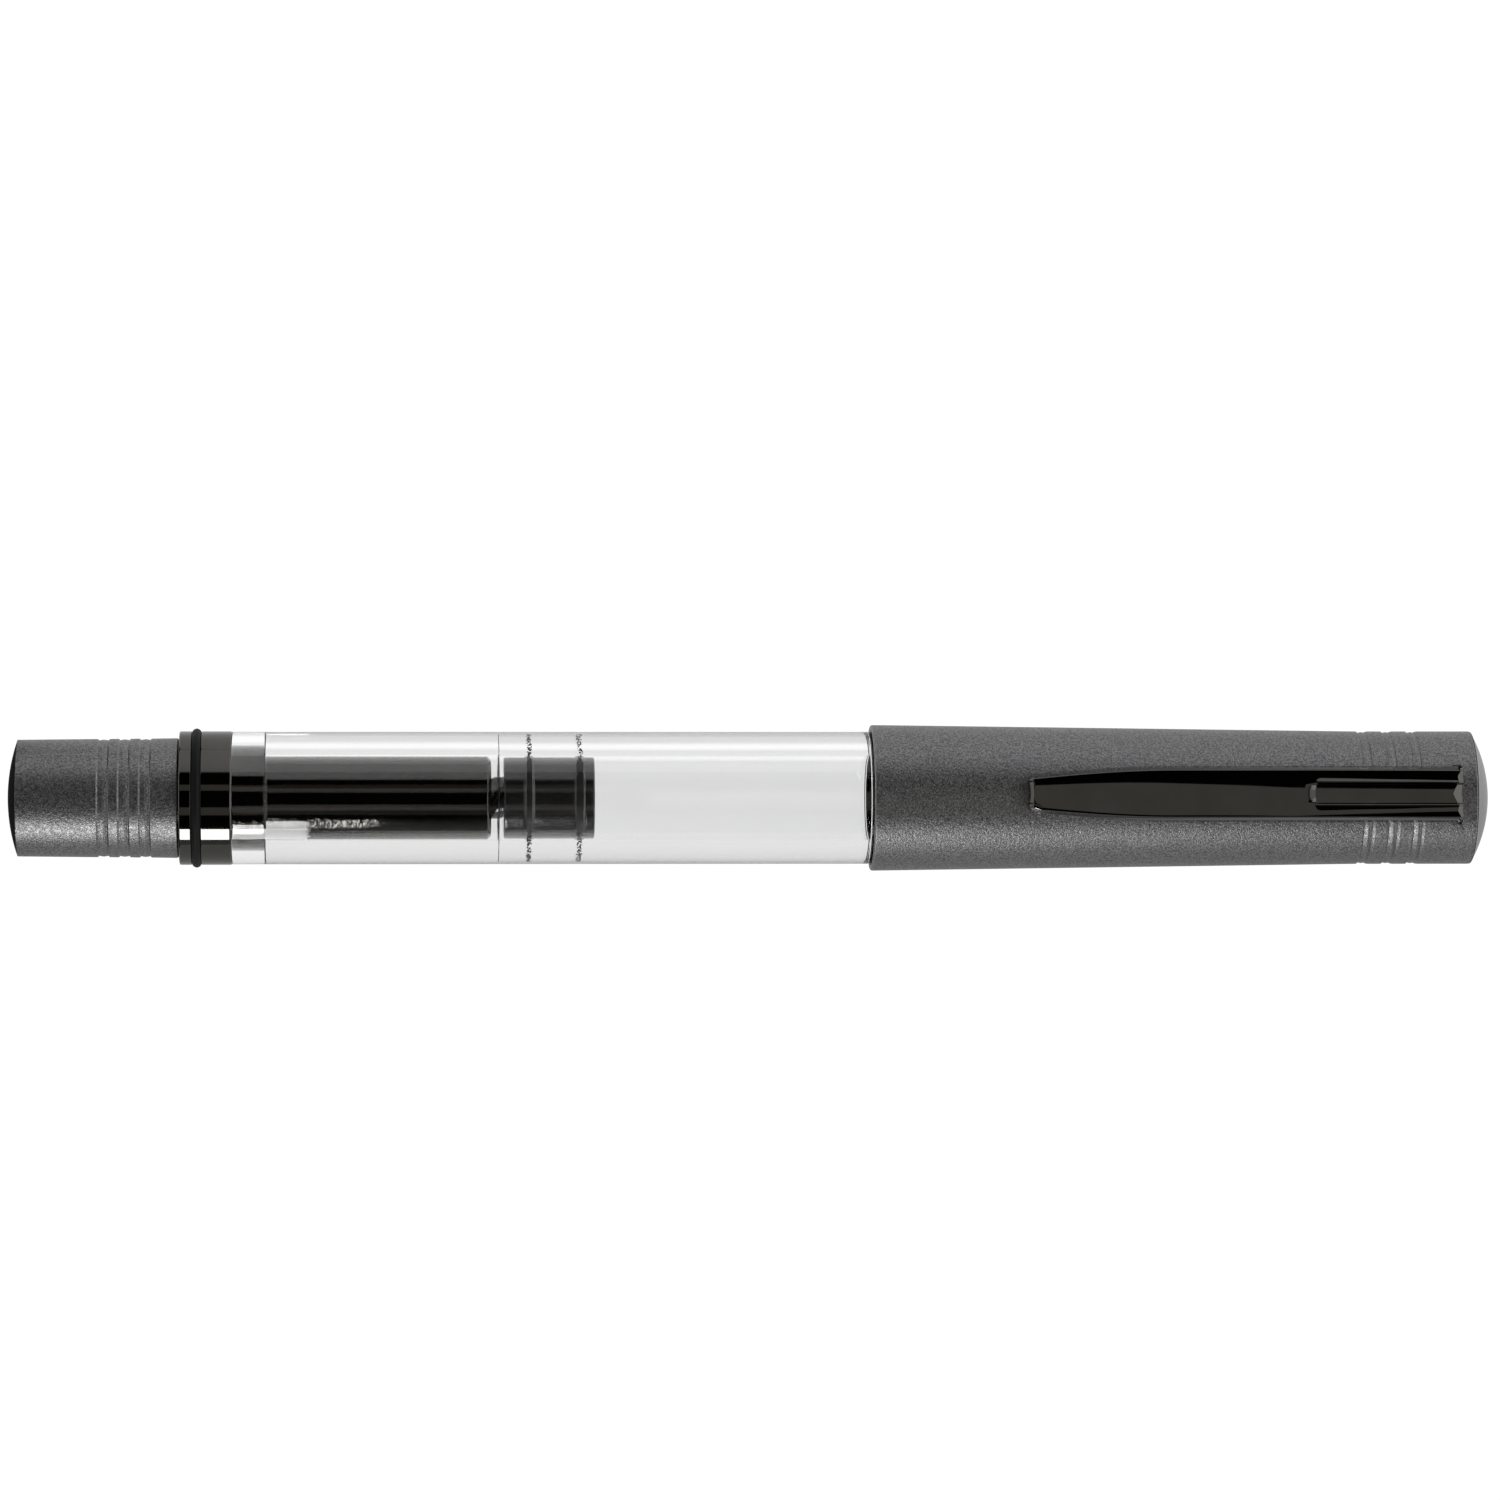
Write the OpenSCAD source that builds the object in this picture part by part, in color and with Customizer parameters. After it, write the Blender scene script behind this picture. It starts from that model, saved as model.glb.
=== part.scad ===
// Piston-filling fountain pen, capped. The pen lies along X with its filling
// knob at -X and its cap at +X, and the clip is on top. Inside the modules x
// is the distance from the outer end of the knob and z = 0 is the pen's axis.

/* [Filling knob] */
// Length of the filling knob with its domed end
knob_len = 15.9; // [15.5:0.1:16.5]
// Diameter of the knob at its outer end
knob_d_end = 10.9; // [10.5:0.1:11.1]
// Diameter of the knob where it meets the collar
knob_d_base = 11.2; // [11.1:0.1:11.6]
// Height of the dome on the knob's end disc
knob_dome_h = 0.89; // [0.5:0.01:1.0]
// Distance from the knob's end to its first grip band
knob_band_start = 8.28; // [7:0.01:8.4]
// Distance between the knob's grip bands
knob_band_pitch = 1.95; // [1.6:0.01:2]

/* [Collar and barrel] */
// Length of the polished rear collar
collar_len = 4.9; // [4.5:0.1:5.2]
// Diameter of the rear collar
collar_d = 12.5; // [12.4:0.1:12.5]
// Thickness of the rubber posting ring
posting_ring_t = 1.05; // [0.9:0.01:1.1]
// Length of the clear barrel that shows when the cap is on
barrel_len = 59.6; // [58:0.1:62]
// Outer diameter of the clear barrel
barrel_d = 12.4; // [12.2:0.1:12.4]
// Bore of the ink chamber
chamber_d = 8; // [7.9:0.05:8.1]

/* [Filling mechanism] */
// Travel of the piston from empty to full
piston_travel = 26; // [20:0.5:26]
// Distance that the piston moves in one turn of the knob
spiral_lead = 6.5; // [6:0.5:8]
// Diameter of the spiral rod
rod_d = 3.9; // [3.7:0.05:3.9]
// Length of the piston head
piston_len = 8.5; // [8:0.1:8.6]
// Diameter of the piston head between its seals
piston_d = 7.64; // [7.5:0.01:7.7]

/* [Grip and nib] */
// Length of the grip section in front of the barrel
section_len = 20.8; // [20:0.1:21]
// Largest diameter of the grip section
section_d = 9.6; // [9.4:0.1:9.6]
// Diameter of the rolled nib blank
nib_d = 6; // [5.8:0.1:6]
// Length of the nib in front of the grip section
nib_reach = 20.3; // [19:0.1:20.5]
// Number of ink fins on the feed
feed_fins = 9; // [5:1:10]

/* [Cap] */
// Length of the cap without its domed finial
cap_len = 56.6; // [56.5:0.1:57]
// Diameter of the cap at its mouth
cap_d_mouth = 13.7; // [13.7:0.1:14.2]
// Diameter of the cap above its taper
cap_d_end = 12.5; // [12.3:0.1:12.6]
// Length of the cap's taper
cap_taper_len = 45.7; // [44:0.1:45.7]
// Height of the domed finial
finial_h = 1.7; // [1.2:0.01:1.8]
// Distance from the cap's mouth to its first band
cap_band_start = 45.8; // [45:0.1:46]
// Distance between the cap's bands
cap_band_pitch = 2.35; // [1.8:0.01:2.4]

/* [Clip] */
// Length of the clip
clip_len = 40.6; // [38:0.05:41]
// Width of the clip along its upper half
clip_w = 5.25; // [4.8:0.05:5.3]
// Width of the clip at its tip
clip_w_tip = 3.66; // [3.2:0.01:4]
// Length of the pressed channel in the clip
clip_channel_len = 14.2; // [8:0.1:16]
// Width of the pressed channel
clip_channel_w = 2.05; // [1.5:0.05:2.4]

/* [Hidden] */
$fn = 96;
eps = 0.01;
dome_steps = 10;

// Colours
gunmetal = "#5b5b5e";
black_chrome = "#1f1f20";
steel = "#b9bbbd";
satin = "#a9aaac";
brass = "#c9a35a";
point_alloy = "#d8d9da";
acrylic = [0.85, 0.87, 0.88, 0.35];
rubber = "#141414";
black_plastic = "#1b1b1c";

// Stations along the pen, from the knob's outer end
turning_gap = 0.1;
mouth_gap = 0.2;
collar_x = knob_len + turning_gap;
barrel_x = collar_x + collar_len;
mouth_x = barrel_x + barrel_len + mouth_gap;
cap_end_x = mouth_x + cap_len;
pen_len = cap_end_x + finial_h;
axis_h = cap_d_mouth / 2;

// Grip bands: each one is two shallow grooves side by side
band_count = 3;
groove_w = 0.49;
groove_pitch = 0.52;
groove_depth = 0.12;
groove_bevel = 0.1;

// Knob and its spindle
end_recess_d = 9.4;
end_recess_depth = 0.66;
screw_head_d = 3.8;
screw_head_h = 1.3;
screw_d = 2;
spindle_d = 6.4;
spindle_bore_d = 4.3;
spindle_x = 5.2;
spindle_bore_x = 9.5;
flange_d = 8.2;
flange_x = barrel_x - 1.5;
flange_t = 1.6;
washer_t = 0.3;
oring_t = 0.6;
spindle_oring_x = collar_x + 1.6;
spindle_gap = 0.05;

// Collar, barrel and the sleeve of the mechanism
posting_ring_x = collar_x + 1.6;
posting_ring_d = 13;
spigot_len = 3.1;
spigot_d = 9.86;
spigot_gap = 0.04;
collar_bore_d = 8.6;
rear_bore_d = 8.2;
sleeve_d = 7.8;
sleeve_bore_d = 6.6;
sleeve_len = 24.15;
sleeve_end_x = barrel_x + sleeve_len;
bore_step_x = sleeve_end_x + 0.71;
front_spigot_len = 6;
front_spigot_d = 11.2;
front_bore_d = 9.2;
clutch_ring_d = 11.9;

// Spiral drive: a three-start rod in a nut that turns with the knob
spiral_starts = 3;
spiral_depth = 0.45;
spiral_points = 24;
spiral_steps = 16;
spiral_gap = 0.12;
nut_len = 4.2;
nut_d = 5.6;
bush_len = 2;
flat_gap = 0.07;
flat_d = 3.3;
nut_x = sleeve_end_x - bush_len - nut_len - 0.4;
piston_x = sleeve_end_x + 1.15;
rod_x = nut_x - piston_travel - 0.4;
rod_tail_d = 2.8;
rod_tail_len = 3.8;
seal_offsets = [2.4, 7.1];
seal_w = 1.1;
seal_d = chamber_d - 0.08;

// Grip section and nib
section_x = barrel_x + barrel_len + front_spigot_len;
section_end_x = section_x + section_len;
section_tail_len = front_spigot_len - 1.1;
housing_d = 7.4;
housing_len = 16;
housing_x = section_end_x - housing_len;
section_oring_x = section_x - 2;
ink_channel_r = 1.8;
nib_x = section_end_x - 10;
nib_t = 0.28;
nib_r_tip = 0.6;
nib_shoulder_x = section_end_x + 4.7;
nib_end_x = section_end_x + nib_reach;
feed_x = section_end_x - 15;
feed_end_x = nib_end_x - 4;

// Cap
mouth_bore_d = 12.5;
mouth_bore_len = 6.8;
cap_bore_d = 11;
liner_d = 10.9;
liner_bore_d = 10;
liner_x = mouth_x + 7.3;
liner_end_x = cap_end_x - 3.4;
liner_end_t = 0.7;
plug_d = 10.9;
finial_stud_d = 2.8;

// Clip
clip_root_x = cap_end_x - 1.65;
clip_x = clip_root_x - clip_len;
clip_tip_z = 8.15;
clip_arch_h = 0.5;
clip_rise = 0.2;
clip_sheet = 0.5;
clip_h = 1.4;
clip_leg_t = 0.6;
clip_slot_gap = 0.15;
clip_foot_z = 4.6;
clip_channel_depth = 0.25;
clip_bump_r = 0.8;

// Radius of the knob at station x, along its slight taper
function knob_r(x) =
    let (u = (x - knob_dome_h) / (knob_len - knob_dome_h))
    (knob_d_end + (knob_d_base - knob_d_end) * u) / 2;

// Radius of the cap at station x: a long taper and then a cylinder
function cap_r(x) =
    let (u = min(1, (x - mouth_x) / cap_taper_len))
    (cap_d_mouth + (cap_d_end - cap_d_mouth) * u) / 2;

// Outline points [radius, station] of one groove that starts at station x on a surface of radius r
function groove(x, r) = [
    [r, x],
    [r - groove_depth, x + groove_bevel],
    [r - groove_depth, x + groove_w - groove_bevel],
    [r, x + groove_w]
];

// Stations of the grooves of all grip bands, when the first band starts at station x
function band_stations(x, pitch) = [
    for (b = [0:band_count - 1], g = [0, 1]) x + b * pitch + g * groove_pitch
];

// Radius of a sphere whose cap has the given height over a disc of diameter d
function dome_radius(d, h) = (d * d / 4 + h * h) / (2 * h);

// A solid turned about the pen's axis, from outline points [radius, station]
module turned(points) {
    rotate([0, 90, 0])
        rotate_extrude()
            polygon(points);
}

// A plain tube between two stations
module tube(x0, x1, d_out, d_in) {
    turned([[d_in / 2, x0], [d_out / 2, x0], [d_out / 2, x1], [d_in / 2, x1]]);
}

// A plain rod between two stations
module rod(x0, x1, d) {
    translate([x0, 0, 0])
        rotate([0, 90, 0])
            cylinder(d = d, h = x1 - x0);
}

// A round rubber ring centred on station x
module oring(x, d_out, t) {
    rotate([0, 90, 0])
        translate([0, 0, x])
            rotate_extrude()
                translate([(d_out - t) / 2, 0])
                    circle(d = t, $fn = 32);
}

// Outline points [radius, station] of a domed disc, from its edge to its apex
function dome(edge_x, apex_x, d) =
    let (
        h = abs(apex_x - edge_x),
        sphere_r = dome_radius(d, h),
        half_angle = asin(d / 2 / sphere_r),
        side = sign(apex_x - edge_x)
    )
    [
        for (i = [0:dome_steps])
            let (a = half_angle * (1 - i / dome_steps))
            [sphere_r * sin(a), apex_x - side * sphere_r * (1 - cos(a))]
    ];

// The three-start spiral between two stations, grown by gap on every side
module spiral(x0, x1, gap) {
    mean_r = rod_d / 2 - spiral_depth / 2 + gap;
    step = 360 / spiral_points;
    outline = [
        for (i = [0:spiral_points - 1])
            let (a = i * step, r = mean_r + spiral_depth / 2 * cos(spiral_starts * a))
            [r * cos(a), r * sin(a)]
    ];
    turns = (x1 - x0) / spiral_lead;
    translate([x0, 0, 0])
        rotate([0, 90, 0])
            rotate([0, 0, 360 * x0 / spiral_lead])
                linear_extrude(
                    height = x1 - x0,
                    twist = -360 * turns,
                    slices = ceil(spiral_steps * turns),
                    segments = spiral_points
                )
                    polygon(outline);
}

// The bar between the rod's two flats, which keep the rod from turning
module flats(x0, x1, gap) {
    rotate([45, 0, 0])
        translate([x0, -flat_d / 2 - gap, -rod_d])
            cube([x1 - x0, flat_d + 2 * gap, 2 * rod_d]);
}

// Knob -----------------------------------------------------------------

module knob() {
    base_chamfer = 0.12;
    bands = band_stations(knob_band_start, knob_band_pitch);
    head_x = knob_dome_h + end_recess_depth;
    head_end_x = head_x + screw_head_h + 0.1;
    spindle_r = spindle_d / 2 + spindle_gap;
    screw_r = screw_d / 2 + 0.1;
    head_r = screw_head_d / 2 + 0.2;
    outer = concat(
        [[knob_d_end / 2, knob_dome_h]],
        [for (x = bands) each groove(x, knob_r(x))],
        [[knob_d_base / 2, knob_len - base_chamfer], [knob_d_base / 2 - base_chamfer, knob_len]]
    );
    inner = [
        [spindle_r, knob_len],
        [spindle_r, spindle_x - 0.1],
        [screw_r, spindle_x - 0.1],
        [screw_r, head_end_x],
        [head_r, head_end_x],
        [head_r, head_x],
        [end_recess_d / 2, head_x],
        [end_recess_d / 2, knob_dome_h]
    ];
    color(gunmetal)
        turned(concat(outer, inner));
}

module knob_end_disc() {
    plug_x = knob_dome_h + end_recess_depth - 0.06;
    plug_r = end_recess_d / 2 - 0.05;
    plug = [[0, plug_x], [plug_r, plug_x], [plug_r, knob_dome_h]];
    color(black_chrome)
        turned(concat(plug, dome(knob_dome_h, 0, knob_d_end - 0.1)));
}

module knob_screw() {
    head_x = knob_dome_h + end_recess_depth + 0.05;
    slot_w = 0.5;
    slot_depth = 0.5;
    color(steel)
        difference() {
            union() {
                rod(head_x, head_x + screw_head_h, screw_head_d);
                rod(head_x + screw_head_h - eps, spindle_bore_x - 0.6, screw_d - 0.1);
            }
            translate([head_x - eps, -screw_head_d / 2 - eps, -slot_w / 2])
                cube([slot_depth, screw_head_d + 2 * eps, slot_w]);
        }
}

module spindle() {
    nut_seat_x = nut_x - 0.05;
    groove_r = spindle_d / 2 - oring_t + 0.02;
    groove_half = oring_t / 2 + 0.1;
    front_x = nut_x + nut_len;
    color(steel)
        turned([
            [screw_d / 2, spindle_x],
            [spindle_d / 2, spindle_x],
            [spindle_d / 2, spindle_oring_x - groove_half],
            [groove_r, spindle_oring_x - groove_half],
            [groove_r, spindle_oring_x + groove_half],
            [spindle_d / 2, spindle_oring_x + groove_half],
            [spindle_d / 2, flange_x],
            [flange_d / 2, flange_x],
            [flange_d / 2, flange_x + flange_t],
            [spindle_d / 2, flange_x + flange_t],
            [spindle_d / 2, front_x],
            [nut_d / 2 + spindle_gap, front_x],
            [nut_d / 2 + spindle_gap, nut_seat_x],
            [spindle_bore_d / 2, nut_seat_x],
            [spindle_bore_d / 2, spindle_bore_x],
            [screw_d / 2, spindle_bore_x]
        ]);
}

module drive_nut() {
    over = spiral_lead / 20;
    color(brass)
        difference() {
            rod(nut_x, nut_x + nut_len, nut_d);
            spiral(nut_x - over, nut_x + nut_len + over, spiral_gap);
        }
}

module spindle_oring() {
    color(rubber)
        oring(spindle_oring_x, spindle_d + 0.1, oring_t);
}

// Barrel and the fixed half of the mechanism ---------------------------

module rear_collar() {
    chamfer = 0.15;
    r = collar_d / 2;
    ring_half = posting_ring_t / 2 + 0.04;
    ring_r = posting_ring_d / 2 - posting_ring_t - 0.02;
    bearing_r = spindle_d / 2 + 0.08;
    spigot_end_x = barrel_x + spigot_len - 0.05;
    washer_seat_x = flange_x - washer_t - 0.1;
    color(black_chrome)
        turned([
            [bearing_r, collar_x],
            [r - chamfer, collar_x],
            [r, collar_x + chamfer],
            [r, posting_ring_x - ring_half],
            [ring_r, posting_ring_x - ring_half],
            [ring_r, posting_ring_x + ring_half],
            [r, posting_ring_x + ring_half],
            [r, barrel_x - chamfer],
            [r - chamfer, barrel_x],
            [spigot_d / 2, barrel_x],
            [spigot_d / 2, spigot_end_x],
            [collar_bore_d / 2, spigot_end_x],
            [collar_bore_d / 2, washer_seat_x],
            [bearing_r, washer_seat_x]
        ]);
}

module posting_ring() {
    color(rubber)
        oring(posting_ring_x, posting_ring_d, posting_ring_t);
}

module thrust_washer() {
    color(steel)
        tube(flange_x - washer_t - 0.05, flange_x - 0.05, flange_d + 0.2, spindle_d + 0.16);
}

module mechanism_sleeve() {
    nose_chamfer = 0.35;
    seat_x = flange_x + flange_t + 0.1;
    waist_x = barrel_x + spigot_len - 0.1;
    seat_r = collar_bore_d / 2 - 0.05;
    color(black_chrome)
        turned([
            [sleeve_bore_d / 2, seat_x],
            [seat_r, seat_x],
            [seat_r, waist_x],
            [sleeve_d / 2, waist_x],
            [sleeve_d / 2, sleeve_end_x - nose_chamfer],
            [sleeve_d / 2 - nose_chamfer, sleeve_end_x],
            [sleeve_bore_d / 2, sleeve_end_x]
        ]);
}

module guide_bush() {
    x0 = sleeve_end_x - bush_len;
    color(black_plastic)
        difference() {
            rod(x0, sleeve_end_x, sleeve_bore_d - 0.06);
            intersection() {
                rod(x0 - 1, sleeve_end_x + 1, rod_d + 2 * flat_gap);
                flats(x0 - 1, sleeve_end_x + 1, flat_gap);
            }
        }
}

module barrel() {
    edge = 0.1;
    shoulder_x = barrel_x + barrel_len;
    tip_x = shoulder_x + front_spigot_len;
    spigot_bore_x = shoulder_x + 1;
    counterbore_x = barrel_x + spigot_len;
    r = barrel_d / 2;
    color(acrylic)
        turned([
            [spigot_d / 2 + spigot_gap, barrel_x],
            [r - edge, barrel_x],
            [r, barrel_x + edge],
            [r, shoulder_x - edge],
            [r - edge, shoulder_x],
            [front_spigot_d / 2, shoulder_x],
            [front_spigot_d / 2, tip_x],
            [front_bore_d / 2, tip_x],
            [front_bore_d / 2, spigot_bore_x],
            [chamber_d / 2, spigot_bore_x],
            [chamber_d / 2, bore_step_x],
            [rear_bore_d / 2, bore_step_x],
            [rear_bore_d / 2, counterbore_x],
            [spigot_d / 2 + spigot_gap, counterbore_x]
        ]);
}

module clutch_ring() {
    x0 = barrel_x + barrel_len + 0.1;
    width = 4.4;
    bead = 0.25;
    r_in = front_spigot_d / 2 + 0.03;
    r = clutch_ring_d / 2;
    color(black_chrome)
        turned([
            [r_in, x0],
            [r - bead, x0],
            [r - bead, x0 + 1.2],
            [r, x0 + 1.6],
            [r, x0 + 2.6],
            [r - bead, x0 + 3],
            [r - bead, x0 + width],
            [r_in, x0 + width]
        ]);
}

module section() {
    tail_x = section_x - section_tail_len;
    tail_r = front_bore_d / 2 - 0.05;
    groove_x0 = section_oring_x - 0.4;
    groove_x1 = section_oring_x + 0.4;
    groove_r = front_bore_d / 2 - 0.64;
    r = section_d / 2;
    waist_r = r - 0.45;
    bore_r = housing_d / 2 + 0.03;
    color(black_plastic)
        turned([
            [ink_channel_r, tail_x],
            [tail_r, tail_x],
            [tail_r, groove_x0],
            [groove_r, groove_x0],
            [groove_r, groove_x1],
            [tail_r, groove_x1],
            [tail_r, section_x + 0.02],
            [r - 0.15, section_x + 0.02],
            [r, section_x + 0.2],
            [r - 0.05, section_x + 4],
            [r - 0.25, section_x + 9],
            [waist_r, section_x + 14],
            [waist_r, section_x + 17],
            [r - 0.1, section_end_x - 1.6],
            [r, section_end_x - 0.9],
            [r - 0.15, section_end_x - 0.2],
            [r - 0.5, section_end_x],
            [bore_r, section_end_x],
            [bore_r, housing_x],
            [ink_channel_r, housing_x]
        ]);
}

module section_oring() {
    color(rubber)
        oring(section_oring_x, front_bore_d - 0.03, oring_t);
}

module nib_housing() {
    x0 = housing_x + 0.05;
    x1 = section_end_x + 0.5;
    chamfer = 0.2;
    r = housing_d / 2;
    bore_r = nib_d / 2 + 0.05;
    color(black_plastic)
        turned([
            [ink_channel_r, x0],
            [r, x0],
            [r, x1 - chamfer],
            [r - chamfer, x1],
            [bore_r, x1],
            [bore_r, feed_x - 0.05],
            [ink_channel_r, feed_x - 0.05]
        ]);
}

// The rolled blank of the nib before its hollow is taken out: a tube that runs on as a cone
module nib_blank() {
    r = nib_d / 2;
    turned([[0, nib_x], [r, nib_x], [r, nib_shoulder_x], [nib_r_tip, nib_end_x], [0, nib_end_x]]);
}

module nib() {
    wing_x = nib_shoulder_x - 0.6;
    waist_x = nib_shoulder_x + 3;
    half_waist = nib_d * 0.36;
    half_tip = 0.42;
    underside_z = 0.02;
    hole_x = nib_shoulder_x + 4;
    hole_d = 1.5;
    slit_w = 0.1;
    color(steel)
        difference() {
            intersection() {
                nib_blank();
                translate([0, 0, underside_z])
                    linear_extrude(height = nib_d)
                        polygon([
                            [nib_x, nib_d],
                            [wing_x, nib_d],
                            [waist_x, half_waist],
                            [nib_end_x, half_tip],
                            [nib_end_x, -half_tip],
                            [waist_x, -half_waist],
                            [wing_x, -nib_d],
                            [nib_x, -nib_d]
                        ]);
            }
            nib_blank_hollow();
            translate([hole_x, 0, 0])
                cylinder(d = hole_d, h = nib_d);
            translate([hole_x, -slit_w / 2, -nib_d])
                cube([nib_end_x - hole_x + 1, slit_w, 2 * nib_d]);
        }
}

// The hollow under the nib, a little longer than the blank at both ends
module nib_blank_hollow() {
    r = nib_d / 2 - nib_t;
    r_tip = nib_r_tip - nib_t;
    slope = (r - r_tip) / (nib_end_x - nib_shoulder_x);
    over = 0.5;
    turned([
        [0, nib_x - over],
        [r, nib_x - over],
        [r, nib_shoulder_x],
        [r_tip - slope * over, nib_end_x + over],
        [0, nib_end_x + over]
    ]);
}

module nib_point() {
    d = 0.9;
    centre = [nib_end_x + 0.12, 0, 0.42];
    color(point_alloy)
        intersection() {
            translate(centre)
                sphere(d = d, $fn = 32);
            translate([nib_end_x, -d, -d])
                cube([2 * d, 2 * d, 3 * d]);
        }
}

module feed() {
    gap = 0.04;
    r = nib_d / 2 - nib_t - gap;
    r_end = 0.55;
    bend_x = nib_shoulder_x - 0.3;
    belly_x = section_end_x - 1;
    belly_end_x = nib_shoulder_x + 3;
    belly_r = r + 0.2;
    fin_pitch = 0.8;
    fin_slot = 0.3;
    fin_slot_z = -0.75;
    first_slot_x = section_end_x + 1.4;
    air_channel_w = 0.5;
    air_channel_depth = 0.6;
    color(black_plastic)
        difference() {
            union() {
                turned([[0, feed_x], [r, feed_x], [r, bend_x], [r_end, feed_end_x], [0, feed_end_x]]);
                intersection() {
                    turned([
                        [0, belly_x],
                        [r, belly_x],
                        [belly_r, belly_x + 1],
                        [belly_r, nib_shoulder_x],
                        [0, belly_end_x]
                    ]);
                    translate([0, -nib_d, -nib_d])
                        cube([pen_len, 2 * nib_d, nib_d - 0.1]);
                }
            }
            for (i = [0:feed_fins - 1])
                translate([first_slot_x + i * fin_pitch, -nib_d, fin_slot_z - nib_d])
                    cube([fin_slot, 2 * nib_d, nib_d]);
            translate([feed_x - 1, -air_channel_w / 2, r - air_channel_depth])
                cube([pen_len, air_channel_w, 1]);
        }
}

// Piston ----------------------------------------------------------------

module piston_rod() {
    color(black_plastic) {
        intersection() {
            spiral(rod_x, piston_x, 0);
            flats(rod_x - 1, piston_x + 1, 0);
        }
        rod(piston_x - 0.2, piston_x + rod_tail_len, rod_tail_d);
    }
}

module piston_head() {
    r = piston_d / 2;
    seat_r = r - 0.6;
    chamfer = 0.2;
    half = seal_w / 2;
    seats = [
        for (offset = seal_offsets)
            each [
                [r, piston_x + offset - half],
                [seat_r, piston_x + offset - half],
                [seat_r, piston_x + offset + half],
                [r, piston_x + offset + half]
            ]
    ];
    socket = rod_tail_d / 2 + 0.02;
    color(rubber)
        turned(concat(
            [[socket, piston_x + 0.02], [r - chamfer, piston_x + 0.02], [r, piston_x + chamfer + 0.02]],
            seats,
            [
                [r, piston_x + piston_len - chamfer],
                [r - chamfer, piston_x + piston_len],
                [0, piston_x + piston_len],
                [0, piston_x + rod_tail_len + 0.02],
                [socket, piston_x + rod_tail_len + 0.02]
            ]
        ));
}

// One lip seal, centred at the given distance from the back of the piston head
module lip_seal(offset) {
    x = piston_x + offset;
    half = seal_w / 2 - 0.02;
    crest = 0.22;
    seat_r = piston_d / 2 - 0.58;
    color(rubber)
        turned([
            [seat_r, x - half],
            [piston_d / 2, x - half],
            [seal_d / 2, x - crest],
            [seal_d / 2, x + crest],
            [piston_d / 2, x + half],
            [seat_r, x + half]
        ]);
}

// Cap -------------------------------------------------------------------

module cap_shell() {
    lip_r = 0.2;
    lip_steps = 6;
    lip_angles = [for (i = [0:lip_steps - 1]) 90 * i / lip_steps];
    end_chamfer = 0.1;
    slot_x = clip_root_x - clip_leg_t - clip_slot_gap;
    bands = band_stations(mouth_x + cap_band_start, cap_band_pitch);
    outer = concat(
        [
            for (a = lip_angles)
                [cap_r(mouth_x + lip_r) - lip_r * (1 - sin(a)), mouth_x + lip_r * (1 - cos(a))]
        ],
        [[cap_r(mouth_x + lip_r), mouth_x + lip_r]],
        [[cap_d_end / 2, mouth_x + cap_taper_len]],
        [for (x = bands) each groove(x, cap_r(x))],
        [[cap_d_end / 2, cap_end_x - end_chamfer], [cap_d_end / 2 - end_chamfer, cap_end_x]]
    );
    inner = [
        [cap_bore_d / 2, cap_end_x],
        [cap_bore_d / 2, mouth_x + mouth_bore_len],
        [mouth_bore_d / 2, mouth_x + mouth_bore_len],
        [mouth_bore_d / 2, mouth_x]
    ];
    color(gunmetal)
        difference() {
            turned(concat(outer, inner));
            translate([slot_x, -clip_w / 2 - clip_slot_gap, 0])
                cube([clip_leg_t + 2 * clip_slot_gap, clip_w + 2 * clip_slot_gap, cap_d_mouth]);
        }
}

module cap_clutch() {
    x0 = mouth_x + 1.3;
    width = 4;
    slots = 6;
    slot_w = 0.6;
    color(steel)
        difference() {
            tube(x0, x0 + width, mouth_bore_d - 0.06, clutch_ring_d + 0.16);
            for (i = [0:slots - 1])
                rotate([360 * i / slots, 0, 0])
                    translate([x0 + 0.8, -slot_w / 2, 0])
                        cube([width - 0.8 + eps, slot_w, mouth_bore_d]);
        }
}

module inner_cap() {
    color(black_plastic)
        turned([
            [liner_bore_d / 2 + 0.2, liner_x],
            [liner_d / 2, liner_x],
            [liner_d / 2, liner_end_x],
            [0, liner_end_x],
            [0, liner_end_x - liner_end_t],
            [liner_bore_d / 2, liner_end_x - liner_end_t],
            [liner_bore_d / 2, liner_x + 0.4]
        ]);
}

module cap_plug() {
    x0 = liner_end_x + 0.05;
    color(steel)
        difference() {
            tube(x0, cap_end_x - 0.05, plug_d, finial_stud_d + 0.06);
            translate([clip_root_x - clip_leg_t - 0.25, -plug_d / 2, clip_foot_z - 0.25])
                cube([clip_leg_t + 0.5, plug_d, plug_d]);
        }
}

module finial() {
    stud_x = liner_end_x + 0.4;
    stud = [[0, stud_x], [finial_stud_d / 2, stud_x], [finial_stud_d / 2, cap_end_x]];
    color(satin)
        turned(concat(stud, dome(cap_end_x, pen_len, cap_d_end)));
}

// Half of the clip's width at station x: it widens over the first third from the tip
function clip_half_w(x) =
    let (u = min(1, 3 * (x - clip_x) / clip_len))
    (clip_w_tip + (clip_w - clip_w_tip) * sin(90 * u)) / 2;

// Height of the clip's upper face at station x, a shallow arch from root to tip
function clip_top(x) =
    let (u = (x - clip_x) / clip_len)
    clip_tip_z + 4 * clip_arch_h * u * (1 - u) + clip_rise * u;

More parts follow.
